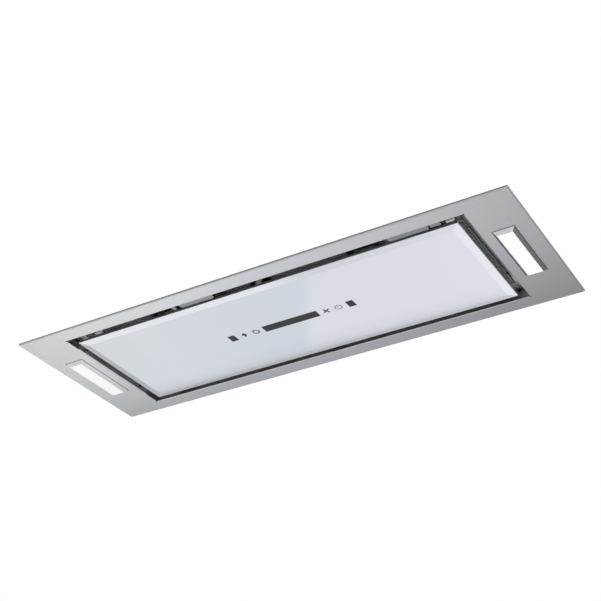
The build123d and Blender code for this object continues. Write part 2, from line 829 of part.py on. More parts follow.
def filter_frame(side):
    """A rectangular frame with the cup that holds the latch; side +1 is the right-hand cassette."""
    x_range = sorted((side * filter_inner_x, side * filter_outer_x))
    z_range = (filter_bottom, filter_top)
    frame = block(x_range, (filter_front_y, filter_rear_y), z_range)
    frame = fillet(frame.edges().filter_by(Axis.Z), filter_frame_bend)
    frame -= block(widened(x_range, -filter_frame_bar),
                   (filter_front_y + filter_frame_bar, filter_rear_y - filter_frame_bar), widened(z_range))
    middle = side * filter_center_x
    frame += block(around(middle, latch_cup_width), latch_cup_y, z_range)
    frame -= block(around(middle, latch_width + 2 * latch_gap), latch_room_y,
                   (latch_floor, filter_top - latch_cup_wall))
    frame -= block(around(middle, latch_width - 2 * latch_window_inset), latch_room_y,
                   (filter_bottom - beyond, latch_floor + beyond))
    return frame - block(around(middle, tongue_width + 2 * latch_gap),
                         widened((filter_front_y, latch_room_front)), widened(tongue_z, latch_gap))


def filter_mesh(side):
    """The aluminium mesh pad held in the frame's inside edge, notched round the latch cup."""
    x_range = sorted((side * filter_inner_x, side * filter_outer_x))
    pad = block(widened(x_range, -filter_frame_bar),
                (filter_front_y + filter_frame_bar, filter_rear_y - filter_frame_bar),
                (filter_bottom + mesh_inset, filter_top - mesh_inset))
    cup_x = around(side * filter_center_x, latch_cup_width)
    return pad - block(cup_x, latch_cup_y, (filter_bottom, filter_top))


def filter_latch(side):
    """The slider with its tongue in front and the lip that a thumb draws back."""
    middle = side * filter_center_x
    front = latch_room_front + latch_gap
    low = latch_floor + latch_gap
    slider = block(around(middle, latch_width), (front, front + latch_depth), (low, low + latch_height))
    tip_y = rail_front_web_y - rail_sheet - tongue_reach
    tongue = block(around(middle, tongue_width), (tip_y, front + beyond), tongue_z)
    tip = tongue.edges().filter_by(Axis.X).group_by(Axis.Y)[0].group_by(Axis.Z)[-1]
    tongue = chamfer(tip, tongue_bevel)
    lip_y = front + thumb_lip_inset
    lip = block(around(middle, thumb_lip_width), (lip_y, lip_y + thumb_lip_sheet),
                (filter_bottom - thumb_lip_height, low + beyond))
    lip = fillet(lip.edges().filter_by(Axis.X).group_by(Axis.Z)[0], thumb_lip_round)
    return slider + tongue + lip


def latch_spring(side):
    """A bowed steel strip between the slider and the back of the cup."""
    middle = side * filter_center_x
    near = latch_room_front + 2 * latch_gap + latch_depth
    far = latch_room_y[1] - latch_gap
    half = latch_width / 2 - spring_inset
    low = latch_floor + latch_gap
    outer = ThreePointArc((middle - half, far, low), (middle, near, low), (middle + half, far, low))
    inner = ThreePointArc((middle + half - spring_strip, far, low), (middle, near + spring_strip, low),
                          (middle - half + spring_strip, far, low))
    ends = [Line(outer @ 1, inner @ 0), Line(inner @ 1, outer @ 0)]
    return extrude(make_face([outer, inner] + ends), amount=spring_height, dir=(0, 0, 1))


# Glass panel: a plate whose lower edge is bevelled all round
def glass_panel():
    bevel_top = glass_bottom + bevel_depth
    upper = block(around(0, glass_length), around(0, glass_width), (bevel_top, glass_top))
    wide = Pos(0, 0, bevel_top) * Rectangle(glass_length, glass_width)
    narrow = Pos(0, 0, glass_bottom) * Rectangle(glass_length - 2 * bevel_width,
                                                 glass_width - 2 * bevel_width)
    panel = upper + loft([narrow, wide], ruled=True)
    for piece in symbol_solids():
        panel -= piece
    return panel


def flat_symbol(face, x):
    """A printed symbol, flush with the underside of the glass."""
    placed = Pos(symbol_row_x + x, 0, glass_bottom) * face
    return extrude(placed, amount=print_depth, dir=(0, 0, 1))


def arrow_face():
    """An upward arrow: a triangle on a short stem, its tip towards the user."""
    head = make_face(Polyline((-arrow_half_width, arrow_base), (arrow_half_width, arrow_base),
                              (0, -arrow_tip), close=True))
    return head + Pos(0, arrow_stem_place) * Rectangle(*arrow_stem)


def round_arrow_face():
    """Two arcs that chase each other, each with an arrow head."""
    ring = Circle(symbol_radius) - Circle(symbol_radius - heavy_line)
    ring -= Rot(0, 0, ring_break_angle) * Rectangle(3 * symbol_radius, ring_break_width)
    line_middle = symbol_radius - heavy_line / 2
    head = make_face(Polyline((line_middle - heavy_line, 0.0), (line_middle + heavy_line, 0.0),
                              (line_middle, ring_head_length), close=True))
    return ring + Rot(0, 0, ring_head_angle) * head + Rot(0, 0, ring_head_angle + 180) * head


def fan_face():
    """A small fan: petals about a hub."""
    petal = Pos(petal_radii[0], 0) * Ellipse(*petal_radii)
    fan = Circle(fine_line)
    for index in range(petal_count):
        fan += Rot(0, 0, petal_turn + 360 * index / petal_count) * petal
    return fan


def power_face():
    """A ring left open at the top, with a bar in the opening."""
    ring = Circle(symbol_radius) - Circle(symbol_radius - fine_line)
    ring -= Pos(0, -symbol_radius) * Rectangle(power_gap, symbol_radius)
    bar_y = -symbol_radius - fine_line / 2 + power_bar_length / 2
    return ring + Pos(0, bar_y) * Rectangle(fine_line, power_bar_length)


def symbol_solids():
    outer_x = first_key_x + 2 * key_pitch
    inner_x = first_key_x + key_pitch
    window = RectangleRounded(display_length, display_width, key_corner)
    lamp_key = RectangleRounded(*key_square, key_corner)
    faces = [(lamp_key, -outer_x), (arrow_face(), -inner_x), (round_arrow_face(), -first_key_x), (window, 0),
             (fan_face(), first_key_x), (power_face(), inner_x), (lamp_key, outer_x)]
    return [flat_symbol(face, x) for face, x in faces]


def panel_carrier():
    """A steel tray on the back of the glass, with a window for the touch board."""
    x_range = around(0, carrier_length)
    y_range = (carrier_front_y, carrier_rear_y)
    tray = block(x_range, y_range, (glass_top, carrier_top))
    tray -= block(widened(x_range, -carrier_sheet), widened(y_range, -carrier_sheet),
                  (carrier_base_top, carrier_top + beyond))
    window_x = around(symbol_row_x, board_length + 2 * board_margin)
    tray -= block(window_x, around(0, board_width + 2 * board_margin), widened((glass_top, carrier_base_top)))
    hinge_room = knuckle_length + 2 * (ear_gap + hinge_sheet + carrier_hinge_gap)
    rear_wall = (carrier_rear_y - carrier_sheet, carrier_rear_y)
    for side in (-1, 1):
        tray -= block(around(side * hinge_x, hinge_room), widened(rear_wall),
                      (carrier_base_top, carrier_top + beyond))
    return tray


def touch_board():
    top = glass_top + board_sheet
    board = block(around(symbol_row_x, board_length), around(0, board_width), (glass_top, top))
    for x in touch_chip_x:
        board += block(around(symbol_row_x + x, touch_chip[0]), around(touch_chip_y, touch_chip[1]),
                       (top, top + touch_chip[2]))
    return board


def board_cover():
    """The moulded cover over the touch board."""
    x_range = around(symbol_row_x, board_length + 2 * (board_margin - board_cover_gap))
    y_range = around(0, board_width + 2 * (board_margin - board_cover_gap))
    top = glass_top + board_cover_height
    cover = block(x_range, y_range, (glass_top, top))
    cover = fillet(cover.edges().filter_by(Axis.Z), board_cover_bend)
    cover = fillet(cover.edges().group_by(Axis.Z)[-1], board_cover_round)
    return cover - block(widened(x_range, -board_cover_wall), widened(y_range, -board_cover_wall),
                         (glass_top - beyond, top - board_cover_wall))


# Panel hinges
def hinge_arm(side):
    """A leaf on the carrier that curls up round the hinge pin."""
    x_range = around(side * hinge_x, knuckle_length)
    leaf = block(x_range, (hinge_axis_y - arm_leaf_length, hinge_axis_y),
                 (carrier_base_top, carrier_base_top + hinge_sheet))
    knuckle = lengthways(knuckle_radius, x_range, hinge_axis_y, hinge_axis_z)
    web = block(x_range, (hinge_axis_y - knuckle_radius, hinge_axis_y), (carrier_base_top, hinge_axis_z))
    return leaf + knuckle + web - lengthways(hinge_pin_radius + hinge_running_gap, widened(x_range),
                                             hinge_axis_y, hinge_axis_z)


def hinge_pin(side):
    reach = knuckle_length / 2 + ear_gap + hinge_sheet + pin_overhang
    return lengthways(hinge_pin_radius, around(side * hinge_x, 2 * reach), hinge_axis_y, hinge_axis_z)


def hinge_bracket(side):
    """Two ears under a foot that is riveted to the rear ledge."""
    foot_top = filter_bottom - rail_sheet
    foot_low = foot_top - hinge_sheet
    ear_x = knuckle_length / 2 + ear_gap
    wide = around(side * hinge_x, 2 * (ear_x + hinge_sheet))
    bracket = block(wide, (hinge_axis_y - ear_half_width, rear_ledge_front_y + bracket_foot_depth),
                    (foot_low, foot_top))
    for end in (-1, 1):
        x_range = lip_range(side * hinge_x + end * ear_x, end, hinge_sheet)
        bracket += block(x_range, around(hinge_axis_y, 2 * ear_half_width), (hinge_axis_z, foot_top))
        bracket += lengthways(ear_half_width, x_range, hinge_axis_y, hinge_axis_z)
    return bracket - lengthways(hinge_pin_radius, widened(wide), hinge_axis_y, hinge_axis_z)


# Front catches: a folded bracket on the near wall of the opening, a magnet and a strike on the carrier
def catch_bracket(x_range):
    """A leaf on the wall with a tab turned in below and an arm turned in above for the magnet."""
    wall_y = -half_opening_y
    tab_low = underside + catch_tab_recess
    arm_z = (magnet_z[1], magnet_z[1] + catch_sheet)
    leaf = block(x_range, (wall_y, wall_y + catch_sheet), (tab_low, arm_z[1]))
    tab = block(x_range, (wall_y, wall_y + catch_tab_reach), (tab_low, tab_low + catch_sheet))
    tab = chamfer(tab.edges().filter_by(Axis.Z).group_by(Axis.Y)[-1], catch_tab_chamfer)
    arm = block(around(sum(x_range) / 2, catch_arm_width), (wall_y, magnet_y + magnet_size[1] / 2), arm_z)
    return leaf + tab + arm


def catch_ear():
    """The second, shorter tab beside the right catch, joined to it by a strap along the wall."""
    wall_y = -half_opening_y
    tab_low = underside + catch_tab_recess
    arm_top = magnet_z[1] + catch_sheet
    x_start = catch_right_x[1] + catch_ear_gap
    x_range = (x_start, x_start + catch_ear_length)
    ear = block(x_range, (wall_y, wall_y + catch_ear_reach), (tab_low, tab_low + catch_sheet))
    ear += block(x_range, (wall_y, wall_y + catch_sheet), (tab_low, arm_top))
    return ear + block(widened((catch_right_x[1], x_start)), (wall_y, wall_y + catch_sheet),
                       (arm_top - catch_strap, arm_top))


def catch_magnets():
    return [block(around(sum(x_range) / 2, magnet_size[0]), around(magnet_y, magnet_size[1]), magnet_z)
            for x_range in (catch_left_x, catch_right_x)]


def strike_plates():
    """Steel tongues on the front wall of the carrier, under the magnets."""
    foot_y = (carrier_front_y + strike_depth - strike_sheet, carrier_front_y + strike_depth)
    plates = []
    for x_range in (catch_left_x, catch_right_x):
        width = around(sum(x_range) / 2, magnet_size[0] + 2 * strike_margin)
        top = block(width, (magnet_y - magnet_size[1] / 2, foot_y[1]),
                    (carrier_top, carrier_top + strike_sheet))
        foot = block(width, foot_y, (carrier_base_top, carrier_top))
        plates.append(top + foot)
    return plates


def edge_clip():
    """The narrow spring clip that stands in the near gap beside the left catch."""
    wall_y = -half_opening_y
    z_low = underside + catch_tab_recess
    x_range = around(clip_x, clip_width)
    leaf = block(x_range, (wall_y, wall_y + catch_sheet), (z_low, opening_top))
    finger = profile_along_x([(wall_y + catch_sheet, z_low), (wall_y + clip_reach, z_low + catch_sheet),
                              (wall_y + clip_reach, z_low + 2 * catch_sheet),
                              (wall_y + catch_sheet, z_low + catch_sheet)], x_range)
    return leaf + finger


def panel_stops():
    """Pale buffers on the near wall of the opening: a pad on a shorter stem."""
    stops = []
    z_low = underside + stop_recess
    pad_y = -half_opening_y + stop_stem_depth
    for x in (stop_left_x, stop_right_x):
        pad = block(around(x, stop_length), (pad_y, pad_y + stop_pad_depth), (z_low, z_low + stop_height))
        pad = fillet(pad.edges().filter_by(Axis.Z), stop_pad_round)
        stem = block(around(x, stop_stem_length), (-half_opening_y, pad_y + beyond),
                     (z_low + stop_height / 2, z_low + stop_height))
        stops.append(pad + stem)
    return stops


# Lamps
def lamp_frame(side):
    """A sloped frame below the plate with a neck that passes up through the lamp window."""
    base = Pos(0, 0, underside) * Rectangle(*lamp_base)
    lower = Pos(0, 0, lamp_face) * Rectangle(*lamp_lower)
    frame = loft([lower, base], ruled=True)
    frame += block(around(0, lamp_neck[0]), around(0, lamp_neck[1]), (underside, underside + lamp_neck_height))
    length, width, shelf_z = lamp_inner[0], lamp_inner[1], lamp_face + diffuser_thickness
    frame -= block(around(0, length), around(0, width), (lamp_face - beyond, shelf_z))
    frame -= block(around(0, length - 2 * lamp_shelf), around(0, width - 2 * lamp_shelf),
                   (shelf_z - beyond, shelf_z + lamp_shelf + beyond))
    frame -= block(around(0, length), around(0, width),
                   (shelf_z + lamp_shelf, underside + lamp_neck_height + beyond))
    barb_low = plate_top + lamp_fit_gap
    for sy in (-1, 1):
        frame += block(around(0, lamp_barb[0]), lip_range(sy * lamp_neck[1] / 2, sy, lamp_barb[1]),
                       (barb_low, barb_low + lamp_barb[2]))
    return Pos(side * lamp_x, 0, 0) * frame


def lamp_diffuser(side):
    plate = block(around(side * lamp_x, diffuser_size[0]), around(0, diffuser_size[1]),
                  (lamp_face, lamp_face + diffuser_thickness))
    return fillet(plate.edges().group_by(Axis.Z)[0], diffuser_round)


def lamp_board(side):
    """An aluminium board with a row of light chips facing down."""
    low = underside + lamp_neck_height - lamp_board_sheet - lamp_board_drop
    board = block(around(side * lamp_x, diffuser_size[0]), around(0, diffuser_size[1]),
                  (low, low + lamp_board_sheet))
    step = diffuser_size[1] / lamp_chip_count
    for index in range(lamp_chip_count):
        y = (index - (lamp_chip_count - 1) / 2) * step
        board += block(around(side * lamp_x, lamp_chip[0]), around(y, lamp_chip[1]), (low - lamp_chip[2], low))
    return board


def lamp_cover(side):
    """The plate over the lamp compartment, on the end wall of the opening; wider above that wall."""
    x_range = sorted((side * cover_face_x, side * half_opening_x))
    low = block(x_range, around(0, lamp_cover_length), (underside + lamp_cover_recess, rail_foot + beyond))
    high = block(x_range, (rail_front_web_y + lamp_cover_gap, filter_rear_y), (rail_foot, rail_top - rail_sheet))
    high -= block(widened(x_range), (rear_ledge_front_y - lamp_cover_gap, filter_rear_y + beyond),
                  (rail_foot - beyond, filter_bottom + lamp_cover_gap))
    cover = low + high
    for sy in (-1, 1):
        cover -= lengthways(lamp_screw_radius + screw_hole_gap, widened(x_range),
                            sy * lamp_screw_spacing / 2, underside + lamp_screw_drop)
    return cover


def lamp_cover_screws():
    screws = []
    for side in (-1, 1):
        for sy in (-1, 1):
            place = (sy * lamp_screw_spacing / 2, underside + lamp_screw_drop)
            face = side * cover_face_x
            shank = lengthways(lamp_screw_radius, lip_range(face, side, lamp_screw_length), *place)
            head = lengthways(lamp_screw_head[0], lip_range(face, -side, lamp_screw_head[1]), *place)
            screws.append(shank + head)
    return screws


# Control case
def control_feet():
    """Screws at the four corners of the control case."""
    ends_x = widened(control_x, -control_boss_inset)
    ends_y = widened(control_y, -control_boss_inset)
    return [(x, y) for x in ends_x for y in ends_y]


def control_case():
    floor = (tray_top, tray_top + control_wall)
    case = block(control_x, control_y, (tray_top, control_top))
    case = fillet(case.edges().filter_by(Axis.Z), control_bend)
    case -= block(widened(control_x, -control_wall), widened(control_y, -control_wall),
                  (floor[1], control_top + beyond))
    case -= upright(wire_hole_radius, widened(floor), *control_middle)
    for x, y in control_feet():
        case += upright(control_boss_radius, (tray_top, control_top), x, y)
        case -= upright(control_screw_radius + screw_hole_gap, widened((tray_top, control_top)), x, y)
    return case - lengthways(gland_radius, widened((control_x[1] - control_wall, control_x[1])),
                             control_middle[1], gland_z)


def control_lid():
    z_range = (control_top, control_top + control_lid_thickness)
    lid = block(control_x, control_y, z_range)
    lid = fillet(lid.edges().filter_by(Axis.Z), control_bend)
    lid = fillet(lid.edges().group_by(Axis.Z)[-1], control_lid_round)
    for x, y in control_feet():
        lid -= upright(control_screw_radius + screw_hole_gap, widened(z_range), x, y)
    return lid


def control_screws():
    """Long screws that hold the lid and the case on the lower housing."""
    seat = control_top + control_lid_thickness
    head_radius, head_height = control_screw_head
    screws = []
    for x, y in control_feet():
        shank = upright(control_screw_radius, (tray_top - case_sheet - control_screw_grip, seat), x, y)
        head = upright(head_radius, (seat, seat + head_height), x, y)
        screws.append(shank + fillet(pick(head.edges(), z=seat + head_height), control_screw_round))
    return screws


def power_board():
    low = tray_top + control_wall + power_board_gap
    top = low + power_board_sheet
    board = block(widened(control_x, -power_board_inset), widened(control_y, -power_board_inset), (low, top))
    for x, y in control_feet():
        board -= upright(control_boss_radius + power_board_boss_gap, widened((low, top)), x, y)
    middle_x, middle_y = control_middle
    for x, y, length, width, height in board_blocks:
        board += block(around(middle_x + x, length), around(middle_y + y, width), (top, top + height))
    return board + upright(capacitor_radius, (top, top + capacitor_height), middle_x + capacitor_place[0],
                           middle_y + capacitor_place[1])


def cable_gland():
    """A threaded gland with a hexagonal body and a domed nut, bored for the mains lead."""
    wall = control_x[1]
    place = (control_middle[1], gland_z)
    inner_x = (wall - control_wall - gland_ring_width, wall - control_wall)
    hexagon = extrude(Plane.YZ * RegularPolygon(gland_nut_radius, 6), amount=gland_nut_width)
    dome = lengthways(gland_dome_radius, (wall + gland_nut_width, wall + gland_length), *place)
    dome = fillet(pick(dome.edges(), x=wall + gland_length), gland_dome_round)
    gland = lengthways(gland_radius, (inner_x[1], wall), *place) + Pos(wall, *place) * hexagon + dome
    gland += lengthways(gland_nut_radius, inner_x, *place)
    return gland - lengthways(gland_bore_radius, widened((inner_x[0], wall + gland_length)), *place)


# Side springs: a bent strip riveted to the long walls, whose knee catches on the cabinet board
def side_spring(x, side):
    wall = body_width / 2
    outer = wall + side_spring_sheet
    seat_z = spring_top - spring_seat
    tail_y = wall + spring_tail_lift
    tail_z = spring_knee_height - spring_tail
    points = [(wall, spring_top), (outer, spring_top), (outer, seat_z),
              (outer + spring_bulge, spring_knee_height), (tail_y + side_spring_sheet, tail_z), (tail_y, tail_z),
              (wall + spring_bulge - spring_knee_sharpness, spring_knee_height), (wall, seat_z)]
    strip = profile_along_x([(side * y, z) for y, z in points], around(x, spring_width))
    return strip + crossways(rivet_head[0], lip_range(side * outer, side, rivet_head[1]), x,
                             spring_top - rivet_place)


def side_springs():
    return [side_spring(x, side) for x in (-spring_x, spring_x) for side in (-1, 1)]


def case_screws():
    """Screws of the tower's foot, its lid, the collar and the blower."""
    screws = [pan_screw(x, y, tray_top + case_sheet) for x, y in tower_screw_places()]
    screws += [pan_screw(x, y, lid_top) for x, y in lid_screw_places() + blower_screw_places()]
    screws += [pan_screw(x, y, collar_base_top) for x, y in collar_screw_places()]
    return screws


def main():
    save("face_plate", face_plate())
    save("housing_tray", housing_tray())
    save("tower_shell", tower_shell())
    save("tower_lid", tower_lid())
    save("outlet_collar", outlet_collar())
    save("flap_rod", flap_rod())
    save("flap_rear", flap(1))
    save("flap_front", flap(-1))
    save("scroll_left", scroll_half(-1))
    save("scroll_right", scroll_half(1))
    save("blower_wheel", wheel())
    save("motor_shaft", motor_shaft())
    save("motor_case", motor_case())
    save("motor_bracket", motor_bracket())
    save("motor_dampers", *motor_dampers())
    save("filter_rail_front", filter_rail_front())
    save("filter_rail_rear", filter_rail_rear())
    save("filter_divider", filter_divider())
    save("stop_post", stop_post())
    for name, side in (("left", -1), ("right", 1)):
        save(f"filter_frame_{name}", filter_frame(side))
        save(f"filter_mesh_{name}", filter_mesh(side))
        save(f"filter_latch_{name}", filter_latch(side))
        save(f"latch_spring_{name}", latch_spring(side))
        save(f"hinge_arm_{name}", hinge_arm(side))
        save(f"hinge_pin_{name}", hinge_pin(side))
        save(f"hinge_bracket_{name}", hinge_bracket(side))
        save(f"lamp_frame_{name}", lamp_frame(side))
        save(f"lamp_diffuser_{name}", lamp_diffuser(side))
        save(f"lamp_board_{name}", lamp_board(side))
        save(f"lamp_cover_{name}", lamp_cover(side))
    save("lamp_cover_screws", *lamp_cover_screws())
    save("glass_panel", glass_panel())
    save("key_symbols", *symbol_solids())
    save("panel_carrier", panel_carrier())
    save("touch_board", touch_board())
    save("board_cover", board_cover())
    save("strike_plates", *strike_plates())
    save("catch_bracket_left", catch_bracket(catch_left_x))
    save("catch_bracket_right", catch_bracket(catch_right_x) + catch_ear())
    save("catch_magnets", *catch_magnets())
    save("edge_clip", edge_clip())
    save("panel_stops", *panel_stops())
    save("control_case", control_case())
    save("control_lid", control_lid())
    save("control_screws", *control_screws())
    save("power_board", power_board())
    save("cable_gland", cable_gland())
    save("side_springs", *side_springs())
    save("case_screws", *case_screws())


main()
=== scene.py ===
import json
import math

import bmesh
import bpy
from mathutils import Matrix, Vector


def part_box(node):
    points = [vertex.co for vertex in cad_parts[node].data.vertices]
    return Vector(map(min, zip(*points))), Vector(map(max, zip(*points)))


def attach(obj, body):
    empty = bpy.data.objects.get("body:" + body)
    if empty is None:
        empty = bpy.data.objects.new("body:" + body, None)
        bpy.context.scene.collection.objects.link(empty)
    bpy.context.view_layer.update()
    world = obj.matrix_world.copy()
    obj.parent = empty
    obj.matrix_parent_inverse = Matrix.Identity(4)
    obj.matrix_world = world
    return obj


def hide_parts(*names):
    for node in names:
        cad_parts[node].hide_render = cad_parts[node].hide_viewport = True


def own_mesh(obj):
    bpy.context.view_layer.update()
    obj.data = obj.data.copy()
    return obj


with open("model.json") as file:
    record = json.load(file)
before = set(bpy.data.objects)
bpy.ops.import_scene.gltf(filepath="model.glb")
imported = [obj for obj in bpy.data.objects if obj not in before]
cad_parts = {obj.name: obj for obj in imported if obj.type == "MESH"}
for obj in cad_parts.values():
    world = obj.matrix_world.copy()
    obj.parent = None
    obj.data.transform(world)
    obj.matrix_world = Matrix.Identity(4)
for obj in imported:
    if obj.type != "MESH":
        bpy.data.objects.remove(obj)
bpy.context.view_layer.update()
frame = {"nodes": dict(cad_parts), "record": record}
nodes = frame["nodes"]

# Camera, in front of the hood, below it and towards its right-hand end
camera_place = Vector((0.91326, -1.50786, -1.05138))
camera_azimuth = math.radians(30.694)
camera_elevation = math.radians(-31.607)
camera_roll = math.radians(0.271)
camera_lens = 74.23
camera_sensor = 36.0

# Stage, in metres; the floor lies below the hood and the ceiling board on the plate's rim
floor_height = -0.30
floor_reach = 4.0
floor_color = (0.80, 0.80, 0.79)
floor_lift = 0.32
floor_fade = (0.55, 1.15)
ceiling_reach = 0.8
seat_gap = 0.0002
hole_margin = 0.002
soft_light = 0.47
white = (1, 1, 1, 1)

# Modelling is in millimetres, as in the part's source
mm = 0.001
# Least cosine between a picked face or edge and the way that it has to face or run, and the most
# between a picked face and an axis that it has to run along
facing = 0.9
sideways = 0.1


# Selection and primitives
def deselect():
    bpy.ops.object.select_all(action="DESELECT")


def take(piece):
    """Selects one object alone and makes it active."""
    deselect()
    piece.select_set(True)
    bpy.context.view_layer.objects.active = piece


def settle(piece, name):
    """Names a new object and puts its place into its mesh."""
    take(piece)
    bpy.ops.object.transform_apply(location=True, rotation=True, scale=True)
    piece.name = name
    piece.data.name = name
    return piece


def spot(x, y, z):
    """A place in metres, from millimetres."""
    return Vector((x, y, z)) * mm


def add_block(name, low, high):
    """A block between two corners, in metres."""
    low, high = Vector(low), Vector(high)
    deselect()
    bpy.ops.mesh.primitive_cube_add(size=1, location=(low + high) / 2)
    piece = bpy.context.object
    piece.scale = high - low
    return settle(piece, name)


def add_round(name, middle, radius, length, axis, corners):
    """A cylinder whose length runs along X, Y or Z, in millimetres."""
    turn = {"X": (0, math.pi / 2, 0), "Y": (math.pi / 2, 0, 0), "Z": (0, 0, 0)}[axis]
    deselect()
    bpy.ops.mesh.primitive_cylinder_add(vertices=corners, radius=radius * mm, depth=length * mm,
                                        location=spot(*middle), rotation=turn)
    return settle(bpy.context.object, name)


def open_mesh(piece):
    take(piece)
    bpy.ops.object.mode_set(mode="EDIT")


def close_mesh():
    bpy.ops.object.mode_set(mode="OBJECT")


def pick_faces(piece, test):
    """Selects the faces whose middle and normal pass the test, in edit mode."""
    bpy.ops.mesh.select_mode(type="FACE")
    bpy.ops.mesh.select_all(action="DESELECT")
    shape = bmesh.from_edit_mesh(piece.data)
    shape.normal_update()
    for face in shape.faces:
        if test(face.calc_center_median(), face.normal):
            face.select_set(True)
    bmesh.update_edit_mesh(piece.data)


def pick_facing(piece, way):
    """Selects the faces that face this way, in edit mode."""
    pick_faces(piece, lambda middle, normal: normal.dot(way) > facing)


def pick_edges(piece, test):
    """Selects the edges whose middle and direction pass the test, in edit mode."""
    bpy.ops.mesh.select_mode(type="EDGE")
    bpy.ops.mesh.select_all(action="DESELECT")
    shape = bmesh.from_edit_mesh(piece.data)
    for edge in shape.edges:
        first, second = (corner.co for corner in edge.verts)
        if test((first + second) / 2, (second - first).normalized()):
            edge.select_set(True)
    bmesh.update_edit_mesh(piece.data)


def smooth(piece, angle):
    """Shades a piece smooth, but for edges sharper than the angle in degrees."""
    take(piece)
    bpy.ops.object.shade_smooth_by_angle(angle=math.radians(angle))
    return piece


def bevel_piece(piece, width, segments=2, angle=30):
    """Rounds the edges sharper than the angle, by a width in millimetres, and applies the modifier."""
    take(piece)
    bevel = piece.modifiers.new("edges", "BEVEL")
    bevel.width = width * mm
    bevel.segments = segments
    bevel.limit_method = "ANGLE"
    bevel.angle_limit = math.radians(angle)
    bevel.harden_normals = False
    bpy.ops.object.modifier_apply(modifier=bevel.name)
    return smooth(piece, angle)


def turned_copy(piece, turn, about):
    """A copy with its own mesh, turned about an upright line."""
    take(piece)
    bpy.ops.object.duplicate()
    copy = bpy.context.object
    open_mesh(copy)
    bpy.ops.mesh.select_all(action="SELECT")
    bpy.ops.transform.rotate(value=turn, orient_axis="Z", center_override=about)
    close_mesh()
    return copy


def remove(piece):
    take(piece)
    bpy.ops.object.delete()


def join_pieces(pieces, name):
    deselect()
    for piece in pieces:
        piece.select_set(True)
    bpy.context.view_layer.objects.active = pieces[0]
    bpy.ops.object.join()
    joined = bpy.context.object
    joined.name = name
    joined.data.name = name
    return joined


# Shader building
def add_node(tree, kind, **settings):
    """A node whose settings are its properties, or its inputs where it has no such property."""
    node = tree.nodes.new(kind)
    for label, value in settings.items():
        if hasattr(node, label):
            setattr(node, label, value)
        else:
            node.inputs[label.replace("_", " ")].default_value = value
    return node


def link(tree, source, target):
    tree.links.new(source, target)


def reckon(tree, operation, *values, **settings):
    """The result of a Math node, whose values are numbers or other nodes' outputs."""
    node = add_node(tree, "ShaderNodeMath", operation=operation, **settings)
    for socket, value in zip(node.inputs, values):
        if isinstance(value, bpy.types.NodeSocket):
            link(tree, value, socket)
        else:
            socket.default_value = value
    return node.outputs[0]


def centred(tree, value, amount):
    """A value about 0.5 becomes one about 0, times the amount."""
    return reckon(tree, "MULTIPLY", reckon(tree, "SUBTRACT", value, 0.5), amount)


def object_place(tree):
    return add_node(tree, "ShaderNodeTexCoord").outputs["Object"]


def scaled_noise(tree, vector, features, detail):
    """Noise with this number of features per metre along each axis."""
    mapping = add_node(tree, "ShaderNodeMapping", Scale=features)
    noise = add_node(tree, "ShaderNodeTexNoise", Scale=1.0, Detail=detail, Roughness=0.55)
    link(tree, vector, mapping.inputs["Vector"])
    link(tree, mapping.outputs["Vector"], noise.inputs["Vector"])
    return noise.outputs["Fac"]


def cells(tree, vector, feature, size):
    """Voronoi cells of a size that another node gives, in metres."""
    node = add_node(tree, "ShaderNodeTexVoronoi", feature=feature)
    link(tree, vector, node.inputs["Vector"])
    link(tree, reckon(tree, "DIVIDE", 1.0, size), node.inputs["Scale"])
    return node.outputs


def new_effect(name, **values):
    """A node group that takes named inputs, given with usual values, and gives a tone and a height."""
    group = bpy.data.node_groups.new(name, "ShaderNodeTree")
    for label, value in values.items():
        socket = group.interface.new_socket(name=label.replace("_", " "), in_out="INPUT",
                                            socket_type="NodeSocketFloat")
        socket.default_value = value
    for label in ("Tone", "Height"):
        group.interface.new_socket(name=label, in_out="OUTPUT", socket_type="NodeSocketFloat")
    entry = group.nodes.new("NodeGroupInput")
    leave = group.nodes.new("NodeGroupOutput")
    return group, entry.outputs, leave.inputs


# Noise features per metre along X, Y and Z
fine_lines = (14, 2600, 2600)
coarse_lines = (5, 420, 420)
steel_clouds = (4, 9, 9)
mould_clouds = (16, 16, 16)
zinc_marks = (22, 22, 22)


def make_brushed_lines():
    """Fine and coarse brush lines along X: tone and height that change across them."""
    group, given, result = new_effect("brushed_lines", Fine_Amount=0.1, Coarse_Amount=0.1,
                                      Cloud_Amount=0.05)
    place = object_place(group)
    fine = scaled_noise(group, place, fine_lines, 2)
    coarse = scaled_noise(group, place, coarse_lines, 3)
    cloud = scaled_noise(group, place, steel_clouds, 2)
    tone = reckon(group, "ADD", centred(group, fine, given["Fine Amount"]),
                  centred(group, coarse, given["Coarse Amount"]))
    tone = reckon(group, "ADD", tone, centred(group, cloud, given["Cloud Amount"]))
    link(group, tone, result["Tone"])
    link(group, fine, result["Height"])
    return group


def make_moulded_grain():
    """The fine spark grain of a plastic moulding, with faint flow clouds."""
    group, given, result = new_effect("moulded_grain", Grain_Size=0.0006, Cloud_Amount=0.05)
    place = object_place(group)
    grain = cells(group, place, "SMOOTH_F1", given["Grain Size"])
    cloud = scaled_noise(group, place, mould_clouds, 3)
    link(group, centred(group, cloud, given["Cloud Amount"]), result["Tone"])
    link(group, grain["Distance"], result["Height"])
    return group


